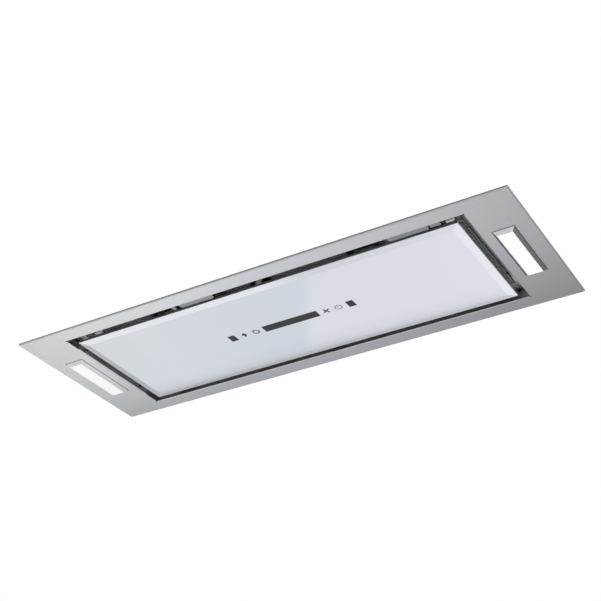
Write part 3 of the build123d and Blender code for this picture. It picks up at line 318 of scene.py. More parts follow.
def make_zinc_spangle():
    """The crystal flakes of a zinc coat: each flake has its own tone, under faint handling marks."""
    group, given, result = new_effect("zinc_spangle", Flake_Size=0.008, Flake_Amount=0.2,
                                      Mark_Amount=0.1)
    place = object_place(group)
    flakes = cells(group, place, "F1", given["Flake Size"])
    parts = add_node(group, "ShaderNodeSeparateColor")
    link(group, flakes["Color"], parts.inputs["Color"])
    marks = scaled_noise(group, place, zinc_marks, 5)
    tone = reckon(group, "ADD", centred(group, parts.outputs["Red"], given["Flake Amount"]),
                  centred(group, marks, given["Mark Amount"]))
    link(group, tone, result["Tone"])
    link(group, marks, result["Height"])
    return group


brushed_lines = make_brushed_lines()
moulded_grain = make_moulded_grain()
zinc_spangle = make_zinc_spangle()


def new_material(name, color, roughness, metallic, **sockets):
    """A material whose even values are set on the shader itself."""
    material = bpy.data.materials.new(name)
    material.use_nodes = True
    shader = material.node_tree.nodes["Principled BSDF"]
    shader.inputs["Base Color"].default_value = (*color, 1)
    shader.inputs["Roughness"].default_value = roughness
    shader.inputs["Metallic"].default_value = metallic
    for label, value in sockets.items():
        shader.inputs[label.replace("_", " ")].default_value = value
    return material


def toned(material, group, color, tone_roughness, bump, bump_distance, **values):
    """Adds a group whose tone changes the colour and the roughness, and whose height makes the bump."""
    tree = material.node_tree
    shader = tree.nodes["Principled BSDF"]
    effect = tree.nodes.new("ShaderNodeGroup")
    effect.node_tree = group
    for label, value in values.items():
        effect.inputs[label.replace("_", " ")].default_value = value
    tone = effect.outputs["Tone"]
    shade = add_node(tree, "ShaderNodeVectorMath", operation="SCALE")
    shade.inputs[0].default_value = color
    link(tree, reckon(tree, "ADD", tone, 1.0), shade.inputs["Scale"])
    link(tree, shade.outputs[0], shader.inputs["Base Color"])
    rough = shader.inputs["Roughness"]
    changed = reckon(tree, "MULTIPLY_ADD", tone, tone_roughness, rough.default_value, use_clamp=True)
    link(tree, changed, rough)
    if bump:
        relief = add_node(tree, "ShaderNodeBump", Strength=bump, Distance=bump_distance)
        link(tree, effect.outputs["Height"], relief.inputs["Height"])
        link(tree, relief.outputs["Normal"], shader.inputs["Normal"])
    return material


def brushed(name, color, roughness, fine=0.10, coarse=0.05, bump=0.15):
    material = new_material(name, color, roughness, 1.0)
    return toned(material, brushed_lines, color, 0.5, bump, 0.05 * mm,
                 Fine_Amount=fine, Coarse_Amount=coarse, Cloud_Amount=0.04)


def moulded(name, color, roughness, grain=0.6, bump=0.25, cloud=0.10, **sockets):
    material = new_material(name, color, roughness, 0.0, **sockets)
    return toned(material, moulded_grain, color, 0.4, bump, 0.1 * mm,
                 Grain_Size=grain * mm, Cloud_Amount=cloud)


def zinc(name, color, roughness, flake=8.0, amount=0.22):
    material = new_material(name, color, roughness, 1.0)
    return toned(material, zinc_spangle, color, 0.4, 0.08, 0.2 * mm,
                 Flake_Size=flake * mm, Flake_Amount=amount, Mark_Amount=0.12)


upright_limit = 0.5


def edge_tinted(material, color):
    """Tints the upright faces of a pane, where its thickness is seen."""
    tree = material.node_tree
    target = tree.nodes["Principled BSDF"].inputs["Base Color"]
    place = tree.nodes.new("ShaderNodeTexCoord")
    parts = tree.nodes.new("ShaderNodeSeparateXYZ")
    tint = add_node(tree, "ShaderNodeMix", data_type="RGBA", blend_type="MIX")
    tint.inputs["B"].default_value = (*color, 1)
    link(tree, place.outputs["Normal"], parts.inputs[0])
    upright = reckon(tree, "LESS_THAN", reckon(tree, "ABSOLUTE", parts.outputs["Z"]), upright_limit)
    link(tree, upright, tint.inputs["Factor"])
    link(tree, target.links[0].from_socket, tint.inputs["A"])
    link(tree, tint.outputs["Result"], target)
    return material


MATERIALS = {
    "brushed_stainless": brushed("brushed_stainless", (0.346, 0.344, 0.354), 0.36, fine=0.16,
                                 coarse=0.09),
    "galvanised_steel": zinc("galvanised_steel", (0.52, 0.53, 0.54), 0.48),
    "bright_steel": brushed("bright_steel", (0.70, 0.70, 0.69), 0.25, bump=0.05),
    "spring_steel": brushed("spring_steel", (0.45, 0.46, 0.48), 0.32),
    "white_glass": edge_tinted(
        moulded("white_glass", (0.71, 0.735, 0.785), 0.08, grain=10, bump=0.0, cloud=0.01),
        (0.10, 0.125, 0.12)),
    "black_print": moulded("black_print", (0.030, 0.031, 0.034), 0.45, grain=10, bump=0.0, cloud=0.1,
                           Specular_IOR_Level=0.12),
    "black_moulding": moulded("black_moulding", (0.035, 0.035, 0.038), 0.5),
    "grey_moulding": moulded("grey_moulding", (0.36, 0.37, 0.38), 0.5),
    "white_moulding": moulded("white_moulding", (0.72, 0.72, 0.70), 0.45),
    "circuit_board": moulded("circuit_board", (0.03, 0.16, 0.08), 0.35),
    "filter_aluminium": brushed("filter_aluminium", (0.60, 0.61, 0.62), 0.40),
    "lamp_silver": brushed("lamp_silver", (0.52, 0.53, 0.54), 0.24, fine=0.03, coarse=0.03, bump=0.04),
    "lamp_opal": moulded("lamp_opal", (0.92, 0.92, 0.92), 0.30, bump=0.0, cloud=0.02,
                         Emission_Color=white, Emission_Strength=0.18),
    "lamp_board_white": moulded("lamp_board_white", (0.78, 0.78, 0.77), 0.4),
    "motor_paint": moulded("motor_paint", (0.16, 0.165, 0.17), 0.42),
    "rubber": moulded("rubber", (0.40, 0.40, 0.39), 0.75),
    "magnet": moulded("magnet", (0.06, 0.06, 0.06), 0.6),
    "black_screw": moulded("black_screw", (0.02, 0.02, 0.02), 0.35),
}
# The steel round the opening is rougher than the housing's, and its colour is painted dark as the shade
# in the gap
gap_shade_steel = zinc("gap_shade_steel", (0.22, 0.225, 0.23), 0.60, flake=4.0, amount=0.10)
gap_shade_nodes = ("catch_bracket_left", "catch_bracket_right", "edge_clip", "lamp_cover_right",
              "filter_rail_front", "hinge_bracket_left", "hinge_bracket_right")

for subpart in frame["record"]["subparts"]:
    name = subpart["node"]
    for slot in nodes[name].material_slots:
        # Nodes in the gap take the steel painted dark for shade
        slot.material = gap_shade_steel if name in gap_shade_nodes else MATERIALS[subpart["material_slot"]]


def dress(piece, body, slot, *replaced):
    """Gives a finished piece its finish and its body, and hides the nodes that it stands for."""
    piece.data.materials.clear()
    piece.data.materials.append(MATERIALS[slot])
    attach(piece, body)
    if replaced:
        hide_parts(*replaced)


# Fields and ribs pressed out of a sheet
field_root = 0.3
field_foot = 0.05
field_round = 0.4
field_round_angle = 12
corner_segments = 5


def pressed_field(low, high, out, slope, corner):
    """A flat field out of a sheet; low and high are its corners on the sheet, and out is its rise."""
    low, high, out = Vector(low), Vector(high), Vector(out)
    away = out.normalized()
    ends = [low - away * field_root, high - away * field_root,
            low + away * field_foot, high + away * field_foot]
    piece = add_block("field", Vector([min(end[axis] for end in ends) for axis in range(3)]) * mm,
                      Vector([max(end[axis] for end in ends) for axis in range(3)]) * mm)
    open_mesh(piece)
    pick_edges(piece, lambda middle, run: abs(run.dot(away)) > facing)
    bpy.ops.mesh.bevel(offset=corner * mm, segments=corner_segments, affect="EDGES")
    pick_facing(piece, away)
    bpy.ops.mesh.inset(thickness=slope * mm)
    bpy.ops.transform.translate(value=out * mm)
    close_mesh()
    return bevel_piece(piece, field_round, angle=field_round_angle)


def wall_field(axis, wall, reach, levels, rise, slope, corner):
    """A field in the outside of a wall that faces along X or Y; reach is its span along the wall."""
    rise = math.copysign(rise, wall)
    if axis == "X":
        low, high, out = (wall, reach[0], levels[0]), (wall, reach[1], levels[1]), (rise, 0, 0)
    else:
        low, high, out = (reach[0], wall, levels[0]), (reach[1], wall, levels[1]), (0, rise, 0)
    return pressed_field(low, high, out, slope, corner)


def deck_field(span, level, rise, slope, corner):
    """A field in a sheet that faces up; span is its low and high X, then its low and high Y."""
    low_x, high_x, low_y, high_y = span
    return pressed_field((low_x, low_y, level), (high_x, high_y, level), (0, 0, rise), slope, corner)


# Lamp shade rings: a thin dark ring painted round the foot of each raised lamp, as the shadow line where
# it meets the face plate
shade_ring_margin = 0.9
shade_ring_levels = (-4.35, -3.98)
shade_ring_width = 1.0
shade_ring_round = 0.12


# A dark ring of painted shadow round one lamp's foot
def lamp_shade_ring(end):
    low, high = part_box(f"lamp_frame_{end}")
    margin = shade_ring_margin * mm
    shade_ring = add_block(f"lamp_shade_ring_{end}", (low.x - margin, low.y - margin, shade_ring_levels[0] * mm),
                     (high.x + margin, high.y + margin, shade_ring_levels[1] * mm))
    open_mesh(shade_ring)
    pick_faces(shade_ring, lambda middle, normal: abs(normal.z) > facing)
    bpy.ops.mesh.inset(thickness=shade_ring_width * mm)
    bpy.ops.mesh.bridge_edge_loops()
    close_mesh()
    return bevel_piece(shade_ring, shade_ring_round, angle=40)


for end in ("left", "right"):
    dress(lamp_shade_ring(end), "hood_body", "black_moulding")


# Grease filters: two layers of expanded aluminium mesh in each frame, a fine one under a coarse one
weave_depth = 1.0
fine_cell = (8.0, 4.2)
coarse_cell = (12.0, 6.3)
strand = 0.95
weave_edge = 0.1
straight = 0.999


def expanded_mesh(low, high, cell):
    """A sheet of diamond openings; cell is one opening's length and width."""
    across = round((high.x - low.x) / (cell[0] * mm))
    along = round((high.y - low.y) / (cell[1] * mm))
    deselect()
    bpy.ops.mesh.primitive_grid_add(x_subdivisions=across, y_subdivisions=along, size=1,
                                    location=(low + high) / 2)
    sheet = bpy.context.object
    sheet.scale = (high.x - low.x, high.y - low.y, 1)
    settle(sheet, "weave")
    open_mesh(sheet)
    bpy.ops.mesh.select_all(action="SELECT")
    bpy.ops.mesh.poke()
    room = weave_edge * mm
    pick_edges(sheet, lambda middle, run: max(abs(run.x), abs(run.y)) > straight
               and low.x + room < middle.x < high.x - room
               and low.y + room < middle.y < high.y - room)
    bpy.ops.mesh.dissolve_edges(use_verts=False)
    close_mesh()
    take(sheet)
    wires = sheet.modifiers.new("strands", "WIREFRAME")
    wires.thickness = strand * mm
    wires.use_boundary = True
    wires.use_even_offset = False
    bpy.ops.object.modifier_apply(modifier=wires.name)
    return sheet


def filter_weave(end):
    low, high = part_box(f"filter_mesh_{end}")
    layers = []
    for level, cell in ((weave_depth, fine_cell), (high.z / mm - low.z / mm - weave_depth, coarse_cell)):
        height = low.z + level * mm
        layers.append(expanded_mesh(Vector((low.x, low.y, height)), Vector((high.x, high.y, height)),
                                    cell))
    return join_pieces(layers, f"filter_weave_{end}")


for end in ("left", "right"):
    dress(filter_weave(end), "hood_body", "filter_aluminium", f"filter_mesh_{end}")


# Lower housing: fields pressed in its walls and deck for stiffness
housing_walls = {"X": (-430, 430), "Y": (-140, 140)}
housing_levels = (20, 54)
housing_press = (1.2, 4.0, 9.0)
long_wall_reaches = ((-272, -14), (14, 272), (-408, -330), (330, 408))
end_wall_reach = (-84, 84)
deck_level = 70
deck_press = (1.4, 5.0, 12.0)
deck_spans = ((-412, -190, -118, -22), (-412, -190, 22, 118), (348, 412, -118, 118), (186, 330, 66, 118),
              (186, 330, -124, -88))


def housing_fields():
    fields = [wall_field("Y", wall, reach, housing_levels, *housing_press)
              for wall in housing_walls["Y"] for reach in long_wall_reaches]
    fields += [wall_field("X", wall, end_wall_reach, housing_levels, *housing_press)
               for wall in housing_walls["X"]]
    fields += [deck_field(span, deck_level, *deck_press) for span in deck_spans]
    return join_pieces(fields, "housing_fields")


dress(housing_fields(), "hood_body", "galvanised_steel")


# Tower: a field with three beads on each wall, and fields on the lid
tower_walls = {"X": (-150, 150), "Y": (-134, 134)}
tower_levels = (96, 224)
tower_rise = 1.4
tower_press = (tower_rise, 6.0, 18.0)
tower_reaches = {"X": (-104, 104), "Y": (-118, 118)}
bead_reaches = {"X": (-80, 80), "Y": (-92, 92)}
bead_levels = (128, 160, 192)
bead_half = 5
bead_press = (1.3, 2.6, 4.9)
lid_level = 251
lid_rise = 1.2
lid_fields = (((-112, 112, -122, -56), 5.0, 12.0), ((-136, -104, -30, 110), 4.0, 9.0),
              ((104, 136, -30, 110), 4.0, 9.0))


def tower_fields():
    fields = []
    for axis in ("Y", "X"):
        for wall in tower_walls[axis]:
            fields.append(wall_field(axis, wall, tower_reaches[axis], tower_levels, *tower_press))
            raised = wall + math.copysign(tower_rise, wall)
            for level in bead_levels:
                levels = (level - bead_half, level + bead_half)
                fields.append(wall_field(axis, raised, bead_reaches[axis], levels, *bead_press))
    fields += [deck_field(span, lid_level, lid_rise, slope, corner)
               for span, slope, corner in lid_fields]
    return join_pieces(fields, "tower_fields")


dress(tower_fields(), "hood_body", "galvanised_steel")


# Tower seam: a lap on the rear wall, held by domed rivets
seam_low = (-146, 133.9, 72.5)
seam_high = (-129, 134.9, 248.5)
seam_round = 0.3
rivet_x = -137.5
rivet_corners = 20
rivet_smooth = 60
rivet_levels = (84, 115, 146, 177, 208, 238)
rivet_radius = 2.4
rivet_rise = 1.1
rivet_inset = 0.35
rivet_dome = 0.25
head_sink = 0.2


def seam_rivet(level):
    line = Vector((0, 1, 0))
    foot = Vector((rivet_x, seam_high[1], level))
    head = add_round("rivet", foot + line * (rivet_rise / 2 - head_sink / 2), rivet_radius,
                     rivet_rise + head_sink, "Y", rivet_corners)
    open_mesh(head)
    pick_facing(head, line)
    bpy.ops.mesh.inset(thickness=rivet_radius * rivet_inset * mm)
    bpy.ops.transform.translate(value=line * rivet_rise * rivet_dome * mm)
    close_mesh()
    return smooth(head, rivet_smooth)


def tower_seam():
    lap = bevel_piece(add_block("seam", spot(*seam_low), spot(*seam_high)), seam_round)
    return join_pieces([lap] + [seam_rivet(level) for level in rivet_levels], "tower_seam")


dress(tower_seam(), "hood_body", "galvanised_steel")


# Outlet collar: two rolled beads that hold the duct, and fins between tube and flange
collar_x, collar_y = 0, 40.37
collar_outside = 74.5
duct_bead_levels = (291, 283.5)
duct_bead_width = 2.6
duct_bead_proud = 1.3
duct_bead_root = 0.4
duct_bead_steps = 96
duct_bead_round = 0.45
fin_round = 0.35
fin_root = 0.5
fin_reach = 9.5
fin_half = 1
fin_levels = (253.9, 267)
fin_slope = 11.5
fin_edge = 1
fin_corner = 0.5
fin_count = 12
first_fin = math.radians(15)


def duct_bead(level):
    deselect()
    bpy.ops.mesh.primitive_plane_add(size=1, rotation=(math.pi / 2, 0, 0), location=spot(
        collar_x + collar_outside + duct_bead_proud / 2 - duct_bead_root / 2, collar_y, level))
    ring = bpy.context.object
    ring.scale = ((duct_bead_proud + duct_bead_root) * mm, duct_bead_width * mm, 1)
    settle(ring, "bead")
    open_mesh(ring)
    bpy.ops.mesh.select_all(action="SELECT")
    bpy.ops.mesh.delete(type="ONLY_FACE")
    bpy.ops.mesh.select_all(action="SELECT")
    bpy.ops.mesh.spin(steps=duct_bead_steps, angle=2 * math.pi, center=spot(collar_x, collar_y, level),
                      axis=(0, 0, 1))
    bpy.ops.mesh.select_all(action="SELECT")
    bpy.ops.mesh.remove_doubles(threshold=0.005 * mm)
    bpy.ops.mesh.normals_make_consistent(inside=False)
    close_mesh()
    return bevel_piece(ring, duct_bead_round, 3, 40)


def collar_fins():
    fin = add_block(
        "fin", spot(collar_x + collar_outside - fin_root, collar_y - fin_half, fin_levels[0]),
        spot(collar_x + collar_outside + fin_reach, collar_y + fin_half, fin_levels[1]))
    open_mesh(fin)
    pick_edges(fin, lambda middle, run: abs(run.y) > facing
               and middle.z > (fin_levels[1] - fin_edge) * mm
               and middle.x > (collar_outside + fin_reach - fin_corner) * mm)
    bpy.ops.transform.translate(value=(0, 0, -fin_slope * mm))
    close_mesh()
    bevel_piece(fin, fin_round)
    fins = [turned_copy(fin, first_fin + 2 * math.pi * index / fin_count,
                        spot(collar_x, collar_y, fin_levels[0])) for index in range(fin_count)]
    remove(fin)
    return join_pieces(fins, "collar_fins")


dress(join_pieces([duct_bead(level) for level in duct_bead_levels], "collar_beads"),
      "hood_body", "black_moulding")
dress(collar_fins(), "hood_body", "black_moulding")


# Control case: ribs on its sides, and a raised field with louvres on its lid, with dark strips beside
# the louvres painted as the shade in their openings
rib_places = range(204, 324, 10)
rib_half = 1
rib_walls = ((-71, -69.8), (49.8, 51))
rib_levels = (74, 105)
rib_round = 0.3
lid_top = 110.5
lid_press = (0.7, 1.5, 6.0)
lid_span = (203, 317, -57, 37)
louvre_top = lid_top + lid_press[0]
louvre_reach = (222, 298)
louvre_places = range(-38, 26, 8)
louvre_width = 4.4
louvre_out = (0, 0.5, 1.0)
louvre_slope = 1.2
louvre_corner = 2.1
slit_inset = 1
slit_span = (4.6, 5.9)
slit_levels = (111, 111.27)
slit_round = 0.1


def case_ribs():
    ribs = [bevel_piece(add_block("rib", spot(x - rib_half, low_y, rib_levels[0]),
                                  spot(x + rib_half, high_y, rib_levels[1])), rib_round)
            for low_y, high_y in rib_walls for x in rib_places]
    return join_pieces(ribs, "case_ribs")


def lid_louvres():
    pieces = [deck_field(lid_span, lid_top, *lid_press)]
    pieces += [pressed_field((louvre_reach[0], y, louvre_top),
                             (louvre_reach[1], y + louvre_width, louvre_top),
                             louvre_out, louvre_slope, louvre_corner) for y in louvre_places]
    return join_pieces(pieces, "lid_louvres")


# Dark strips beside the louvres, painted as the shade inside their openings
def lid_slit_shades():
    slits = [add_block("slit", spot(louvre_reach[0] + slit_inset, y + slit_span[0], slit_levels[0]),
                       spot(louvre_reach[1] - slit_inset, y + slit_span[1], slit_levels[1]))
             for y in louvre_places]
    return join_pieces([bevel_piece(slit, slit_round, 1) for slit in slits], "lid_slit_shades")


dress(lid_slit_shades(), "hood_body", "black_moulding")
dress(case_ribs(), "hood_body", "grey_moulding")
dress(lid_louvres(), "hood_body", "grey_moulding")


# Cable gland: a hexagonal body, its thread and ring, and a fluted dome nut bored for the mains lead
gland_y, gland_z = -10, 89
nut_faces = 48
nut_smooth = 28
# Place along X, radius, length and number of corners
gland_hexagon = (333, 12, 6, 6)
gland_thread = (328.5, 10, 3.2, nut_faces)
gland_ring = (326.5, 11.8, 3.0, nut_faces)
gland_nut = (341, 11, 10, nut_faces)
hexagon_round = 0.5
ring_round = 0.3
dome_x = 346
dome_steps = ((2.0, 0.975), (2.4, 0.92), (2.0, 0.84), (1.6, 0.76))
bore_wall = 1.3
bore_depth = 15
flute_pitch = 3
flute_reach = (337, 345.5)
flute_radius = 10.5
flute_inset = 0.25
flute_depth = 0.55


def gland_part(x, radius, length, corners):
    return add_round("gland", (x, gland_y, gland_z), radius, length, "X", corners)


def on_flute(middle, normal):
    """Whether a face of the nut is one of those that sink to make the flutes."""
    y, z = middle.y - gland_y * mm, middle.z - gland_z * mm
    turn = math.atan2(z, y) / (2 * math.pi)
    return (abs(normal.x) < sideways and flute_reach[0] * mm < middle.x < flute_reach[1] * mm
            and int((turn + 1) * nut_faces) % flute_pitch == 0 and math.hypot(y, z) > flute_radius * mm)


def gland_body():
    body = bevel_piece(gland_part(*gland_hexagon), hexagon_round)
    thread = gland_part(*gland_thread)
    ring = bevel_piece(gland_part(*gland_ring), ring_round)
    nut = gland_part(*gland_nut)
    dome_foot = spot(dome_x, gland_y, gland_z)
    open_mesh(nut)
    for step, narrow in dome_steps:
        pick_facing(nut, Vector((1, 0, 0)))
        bpy.ops.mesh.extrude_region_move(TRANSFORM_OT_translate={"value": (step * mm, 0, 0)})
        bpy.ops.transform.resize(value=(1, narrow, narrow), center_override=dome_foot)
    bpy.ops.mesh.inset(thickness=bore_wall * mm)
    bpy.ops.mesh.extrude_region_move(TRANSFORM_OT_translate={"value": (-bore_depth * mm, 0, 0)})
    pick_faces(nut, on_flute)
    bpy.ops.mesh.inset(thickness=flute_inset * mm, use_individual=True)
    bpy.ops.transform.shrink_fatten(value=-flute_depth * mm)
    close_mesh()
    return join_pieces([smooth(nut, nut_smooth), body, thread, ring], "gland_body")


dress(gland_body(), "hood_body", "black_moulding", "cable_gland")


# Latch springs (bowed strips that flatten against their cups in the real latch): each gets a mesh of its
# own
for end in ("left", "right"):
    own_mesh(nodes[f"latch_spring_{end}"])


# Panel carrier: ribs pressed up, two long ones past the touch board and four short ones at its ends
carrier_level = -0.1
carrier_press = (1.6, 3.2, 6.8)
carrier_spans = [(-306, 300, *reach) for reach in ((-64, -50), (50, 64))]
carrier_spans += [(*reach, *side) for reach in ((-300, -160), (158, 298))
                  for side in ((-30, -16), (16, 30))]

dress(join_pieces([deck_field(span, carrier_level, *carrier_press) for span in carrier_spans],
                  "carrier_ribs"), "panel", "galvanised_steel")


# Touch board cover: a raised field with cross ribs, and pan-head screws with a cross recess
cover_top = 7.9
cover_span = (-118, 117, -19, 19)
cover_press = (0.7, 1.6, 4.0)
cross_rib_press = (0.7, 0.5, 0.9)
cross_rib_places = range(-100, 101, 20)
cross_rib_width = 2.4
cross_rib_reach = (-15, 15)
screw_places = [(x, y) for x in (-124, -41, 41, 123) for y in (-22, 22)]
screw_radius = 2.0
screw_rise = 1.2
screw_dome = 0.3
screw_corners = 24
screw_smooth = 40
recess_length = 0.55
recess_width = 0.12
recess_levels = (0.6, 2)


def cover_field():
    fields = [deck_field(cover_span, cover_top, *cover_press)]
    fields += [deck_field((x, x + cross_rib_width, *cross_rib_reach), cover_top + cover_press[0],
                          *cross_rib_press) for x in cross_rib_places]
    return join_pieces(fields, "cover_field")


def cross_screw(x, y):
    """A pan-head screw standing up, with a cross recess."""
    head = add_round("screw", (x, y, cover_top + screw_rise / 2 - head_sink / 2), screw_radius,
                     screw_rise + head_sink, "Z", screw_corners)
    open_mesh(head)
    pick_facing(head, Vector((0, 0, 1)))
    bpy.ops.mesh.inset(thickness=screw_radius * screw_dome * mm)
    bpy.ops.transform.translate(value=(0, 0, screw_rise * screw_dome * mm))
    close_mesh()
    low_z, high_z = (cover_top + screw_rise * level for level in recess_levels)
    bars = []
    for half_x, half_y in ((recess_length, recess_width), (recess_width, recess_length)):
        half_x, half_y = screw_radius * half_x, screw_radius * half_y
        bars.append(add_block("bar", spot(x - half_x, y - half_y, low_z),
                              spot(x + half_x, y + half_y, high_z)))
    for bar in bars:
        cut = head.modifiers.new("recess", "BOOLEAN")
        cut.operation = "DIFFERENCE"
        cut.object = bar
        take(head)
        bpy.ops.object.modifier_apply(modifier=cut.name)
    for bar in bars:
        remove(bar)
    return smooth(head, screw_smooth)


dress(cover_field(), "panel", "black_moulding")
dress(join_pieces([cross_screw(x, y) for x, y in screw_places], "cover_screws"), "panel", "bright_steel")


# Stage materials, each clear but where its gate lets its surface show
def gated(name, make_gate, make_surface):
    material = bpy.data.materials.new(name)
    material.use_nodes = True
    tree = material.node_tree
    tree.nodes.clear()
    finish = tree.nodes.new("ShaderNodeOutputMaterial")
    mix = tree.nodes.new("ShaderNodeMixShader")
    clear = tree.nodes.new("ShaderNodeBsdfTransparent")
    link(tree, make_gate(tree), mix.inputs[0])
    link(tree, clear.outputs[0], mix.inputs[1])
    link(tree, make_surface(tree), mix.inputs[2])
    link(tree, mix.outputs[0], finish.inputs["Surface"])
    return material


def ray_gate(tree, *kinds):
    """One where the ray is of any of these kinds, and zero elsewhere."""
    rays = tree.nodes.new("ShaderNodeLightPath")
    seen = rays.outputs[kinds[0]]
    for kind in kinds[1:]:
        seen = reckon(tree, "MAXIMUM", seen, rays.outputs[kind])
    return seen


def front_gate(tree):
    """One where the camera sees the front, and zero elsewhere."""
    side = tree.nodes.new("ShaderNodeNewGeometry")
    front = reckon(tree, "SUBTRACT", 1.0, side.outputs["Backfacing"])
    return reckon(tree, "MULTIPLY", front, ray_gate(tree, "Is Camera Ray"))


def even_glow(tree, strength=1.0):
    return add_node(tree, "ShaderNodeEmission", Color=white, Strength=strength).outputs[0]


def floor_shade(tree):
    """Holds the shadow near the hood and turns to even white farther out."""
    shade = add_node(tree, "ShaderNodeBsdfDiffuse", Color=(*floor_color, 1))
    near = tree.nodes.new("ShaderNodeAddShader")
    mix = tree.nodes.new("ShaderNodeMixShader")
    away = add_node(tree, "ShaderNodeVectorMath", operation="LENGTH")
    fade = add_node(tree, "ShaderNodeMapRange", interpolation_type="SMOOTHSTEP", From_Min=floor_fade[0],
                    From_Max=floor_fade[1])
    link(tree, object_place(tree), away.inputs[0])
    link(tree, away.outputs["Value"], fade.inputs["Value"])
    link(tree, shade.outputs[0], near.inputs[0])
    link(tree, even_glow(tree, floor_lift), near.inputs[1])
    link(tree, fade.outputs[0], mix.inputs[0])
    link(tree, near.outputs[0], mix.inputs[1])
    link(tree, even_glow(tree), mix.inputs[2])
    return mix.outputs[0]


# Stage: a pale floor seen only from above, and a white board for the cabinet seen only from below
def add_floor():
    deselect()
    bpy.ops.mesh.primitive_plane_add(size=2 * floor_reach, location=(0, 0, floor_height))
    floor = settle(bpy.context.object, "floor")
    floor.data.materials.append(gated("pale_floor", front_gate, floor_shade))


def add_ceiling():
    """The board round the cut-out, over the plate's rim; its hole is hidden behind the plate."""
    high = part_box("housing_tray")[1]
    half_x = high.x + hole_margin
    half_y = high.y + hole_margin
    deselect()
    bpy.ops.mesh.primitive_plane_add(size=2 * ceiling_reach, location=(0, 0, seat_gap))
    board = settle(bpy.context.object, "ceiling_board")
    open_mesh(board)
    bpy.ops.mesh.select_mode(type="FACE")
    bpy.ops.mesh.select_all(action="SELECT")
    bpy.ops.mesh.inset(thickness=ceiling_reach - half_x)
    bpy.ops.transform.resize(value=(1, half_y / half_x, 1))
    bpy.ops.mesh.delete(type="FACE")
    bpy.ops.mesh.select_all(action="SELECT")
    bpy.ops.mesh.flip_normals()
    close_mesh()
    board.data.materials.append(gated("white_board", front_gate, even_glow))


add_floor()
add_ceiling()


# Light
def set_world():
    """White wherever the camera, metal or glass sees it, and a soft even light on everything."""
    world = bpy.data.worlds.new("studio")
    bpy.context.scene.world = world
    world.use_nodes = True
    tree = world.node_tree
    tree.nodes.clear()
    finish = tree.nodes.new("ShaderNodeOutputWorld")
    mix = tree.nodes.new("ShaderNodeMixShader")
    soft = add_node(tree, "ShaderNodeBackground", Color=white, Strength=soft_light)
    bright = add_node(tree, "ShaderNodeBackground", Color=white, Strength=1.0)
    link(tree, ray_gate(tree, "Is Camera Ray", "Is Glossy Ray", "Is Transmission Ray"), mix.inputs[0])
    link(tree, soft.outputs[0], mix.inputs[1])
    link(tree, bright.outputs[0], mix.inputs[2])
    link(tree, mix.outputs[0], finish.inputs["Surface"])


def add_softbox(name, place, target, size, power, kind):
    """An area light on what is dull or on what is glossy, by its kind; size is its width and height."""
    data = bpy.data.lights.new(name, "AREA")
    data.shape = "RECTANGLE"
    data.size, data.size_y = size
    data.energy = power
    lamp = bpy.data.objects.new(name, data)
    bpy.context.scene.collection.objects.link(lamp)
    lamp.location = place
    lamp.rotation_euler = (Vector(target) - Vector(place)).to_track_quat("-Z", "Y").to_euler()
    lamp.visible_camera = False
    lamp.visible_glossy = kind == "gloss"
    lamp.visible_diffuse = kind == "dull"


def add_card(name, low, high, tone, far_tone=None, strengths=None):
    """A card seen only in gloss; its tone may change along X, and its strength upwards."""
    low, high = Vector(low), Vector(high)

    def card_glow(tree):
        glow = add_node(tree, "ShaderNodeEmission", Color=(*tone, 1), Strength=1.0)
        if far_tone:
            parts = tree.nodes.new("ShaderNodeSeparateXYZ")
            along = add_node(tree, "ShaderNodeMapRange", From_Min=low.x, From_Max=high.x)
            upward = add_node(tree, "ShaderNodeMapRange", From_Min=low.z, From_Max=high.z,
                              To_Min=strengths[0], To_Max=strengths[1])
            blend = add_node(tree, "ShaderNodeMix", data_type="RGBA", blend_type="MIX")
            blend.inputs["A"].default_value = (*tone, 1)
            blend.inputs["B"].default_value = (*far_tone, 1)
            link(tree, object_place(tree), parts.inputs[0])
            link(tree, parts.outputs["X"], along.inputs["Value"])
            link(tree, along.outputs[0], blend.inputs["Factor"])
            link(tree, blend.outputs["Result"], glow.inputs["Color"])
            link(tree, parts.outputs["Z"], upward.inputs["Value"])
            link(tree, upward.outputs[0], glow.inputs["Strength"])
        return glow.outputs[0]

    deselect()
    bpy.ops.mesh.primitive_plane_add(size=1, location=(low + high) / 2, rotation=(math.pi / 2, 0, 0))
    card = bpy.context.object
    card.scale = (high.x - low.x, high.z - low.z, 1)
    settle(card, name)
    card.data.materials.append(gated(name, lambda tree: ray_gate(tree, "Is Glossy Ray"), card_glow))


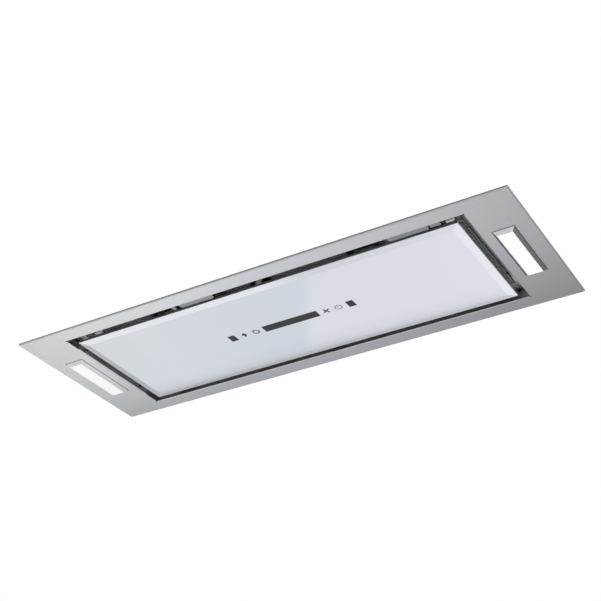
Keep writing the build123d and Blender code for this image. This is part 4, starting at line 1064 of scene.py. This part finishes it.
# Cards that stand for the room: low and high corner, tone, tone at the far end, strength below and above
CARDS = (
    ("far_card_low", (-2.4, 0.9, -0.53), (1.4, 0.9, 0), (0.20, 0.20, 0.20)),
    ("near_card_high", (-1.1, -1.0, 0.25), (1.2, -1.0, 1.3), (0.40, 0.40, 0.40)),
    ("window_left", (-2.2, 1.5, -1.34), (-0.845, 1.5, -0.84), (2.6, 2.7, 2.5), (1.0, 1.35, 1.55),
     (0.85, 1.15)),
    ("window_right", (-0.845, 1.5, -1.34), (-0.08, 1.5, -0.84), (1.95, 1.95, 2.2), (1.25, 1.25, 1.42),
     (0.85, 1.15)),
    ("window_low", (-1.55, 1.5, -1.66), (-0.45, 1.5, -1.34), (1.5, 1.5, 1.5)),
)
# Area lights: place, what they face, width and height, watts, and what they light
SOFTBOXES = (
    ("top_softbox", (0.6, -0.8, 1.9), (0, 0, 0), (1.6, 1.2), 17, "dull"),
    ("top_gloss", (0.6, -0.8, 1.9), (0, 0, 0), (1.6, 1.2), 8, "gloss"),
    ("left_gloss", (-0.55, 0.12, -0.36), (-0.55, 0.12, 0), (1.2, 0.75), 0.15, "gloss"),
    ("far_gloss", (-0.20, 0.55, -0.55), (-0.20, 0.55, 0), (1.4, 1.0), 1.5, "gloss"),
    ("near_gloss", (-0.5, -1.55, -0.5), (-0.1, 0, 0), (2.0, 0.8), 6.5, "gloss"),
    ("low_gloss", (-2.2, 1.5, -2.5), (0, 0, 0), (1.7, 0.9), 13, "gloss"),
    ("near_fill", (0.0, -1.5, -0.6), (0, 0, 0), (1.6, 0.5), 4.5, "dull"),
    ("right_fill", (1.7, 0.0, -0.45), (0, 0, 0), (0.9, 0.6), 25, "dull"),
    ("left_fill", (-1.6, -0.2, -0.35), (-0.2, 0, 0), (0.8, 0.4), 6.2, "dull"),
)

set_world()
for card in CARDS:
    add_card(*card)
for softbox in SOFTBOXES:
    add_softbox(*softbox)


# Camera
def add_camera():
    back = Vector((math.sin(camera_azimuth) * math.cos(camera_elevation),
                   -math.cos(camera_azimuth) * math.cos(camera_elevation), math.sin(camera_elevation)))
    side = (-back).cross(Vector((0, 0, 1))).normalized()
    up = side.cross(-back)
    turned_side = side * math.cos(camera_roll) + up * math.sin(camera_roll)
    turned_up = up * math.cos(camera_roll) - side * math.sin(camera_roll)
    data = bpy.data.cameras.new("camera")
    data.lens = camera_lens
    data.sensor_width = camera_sensor
    camera = bpy.data.objects.new("camera", data)
    bpy.context.scene.collection.objects.link(camera)
    camera.matrix_world = Matrix.Translation(camera_place) @ Matrix(
        (turned_side, turned_up, back)).transposed().to_4x4()
    bpy.context.scene.camera = camera


add_camera()
bpy.context.scene.view_settings.view_transform = "Standard"
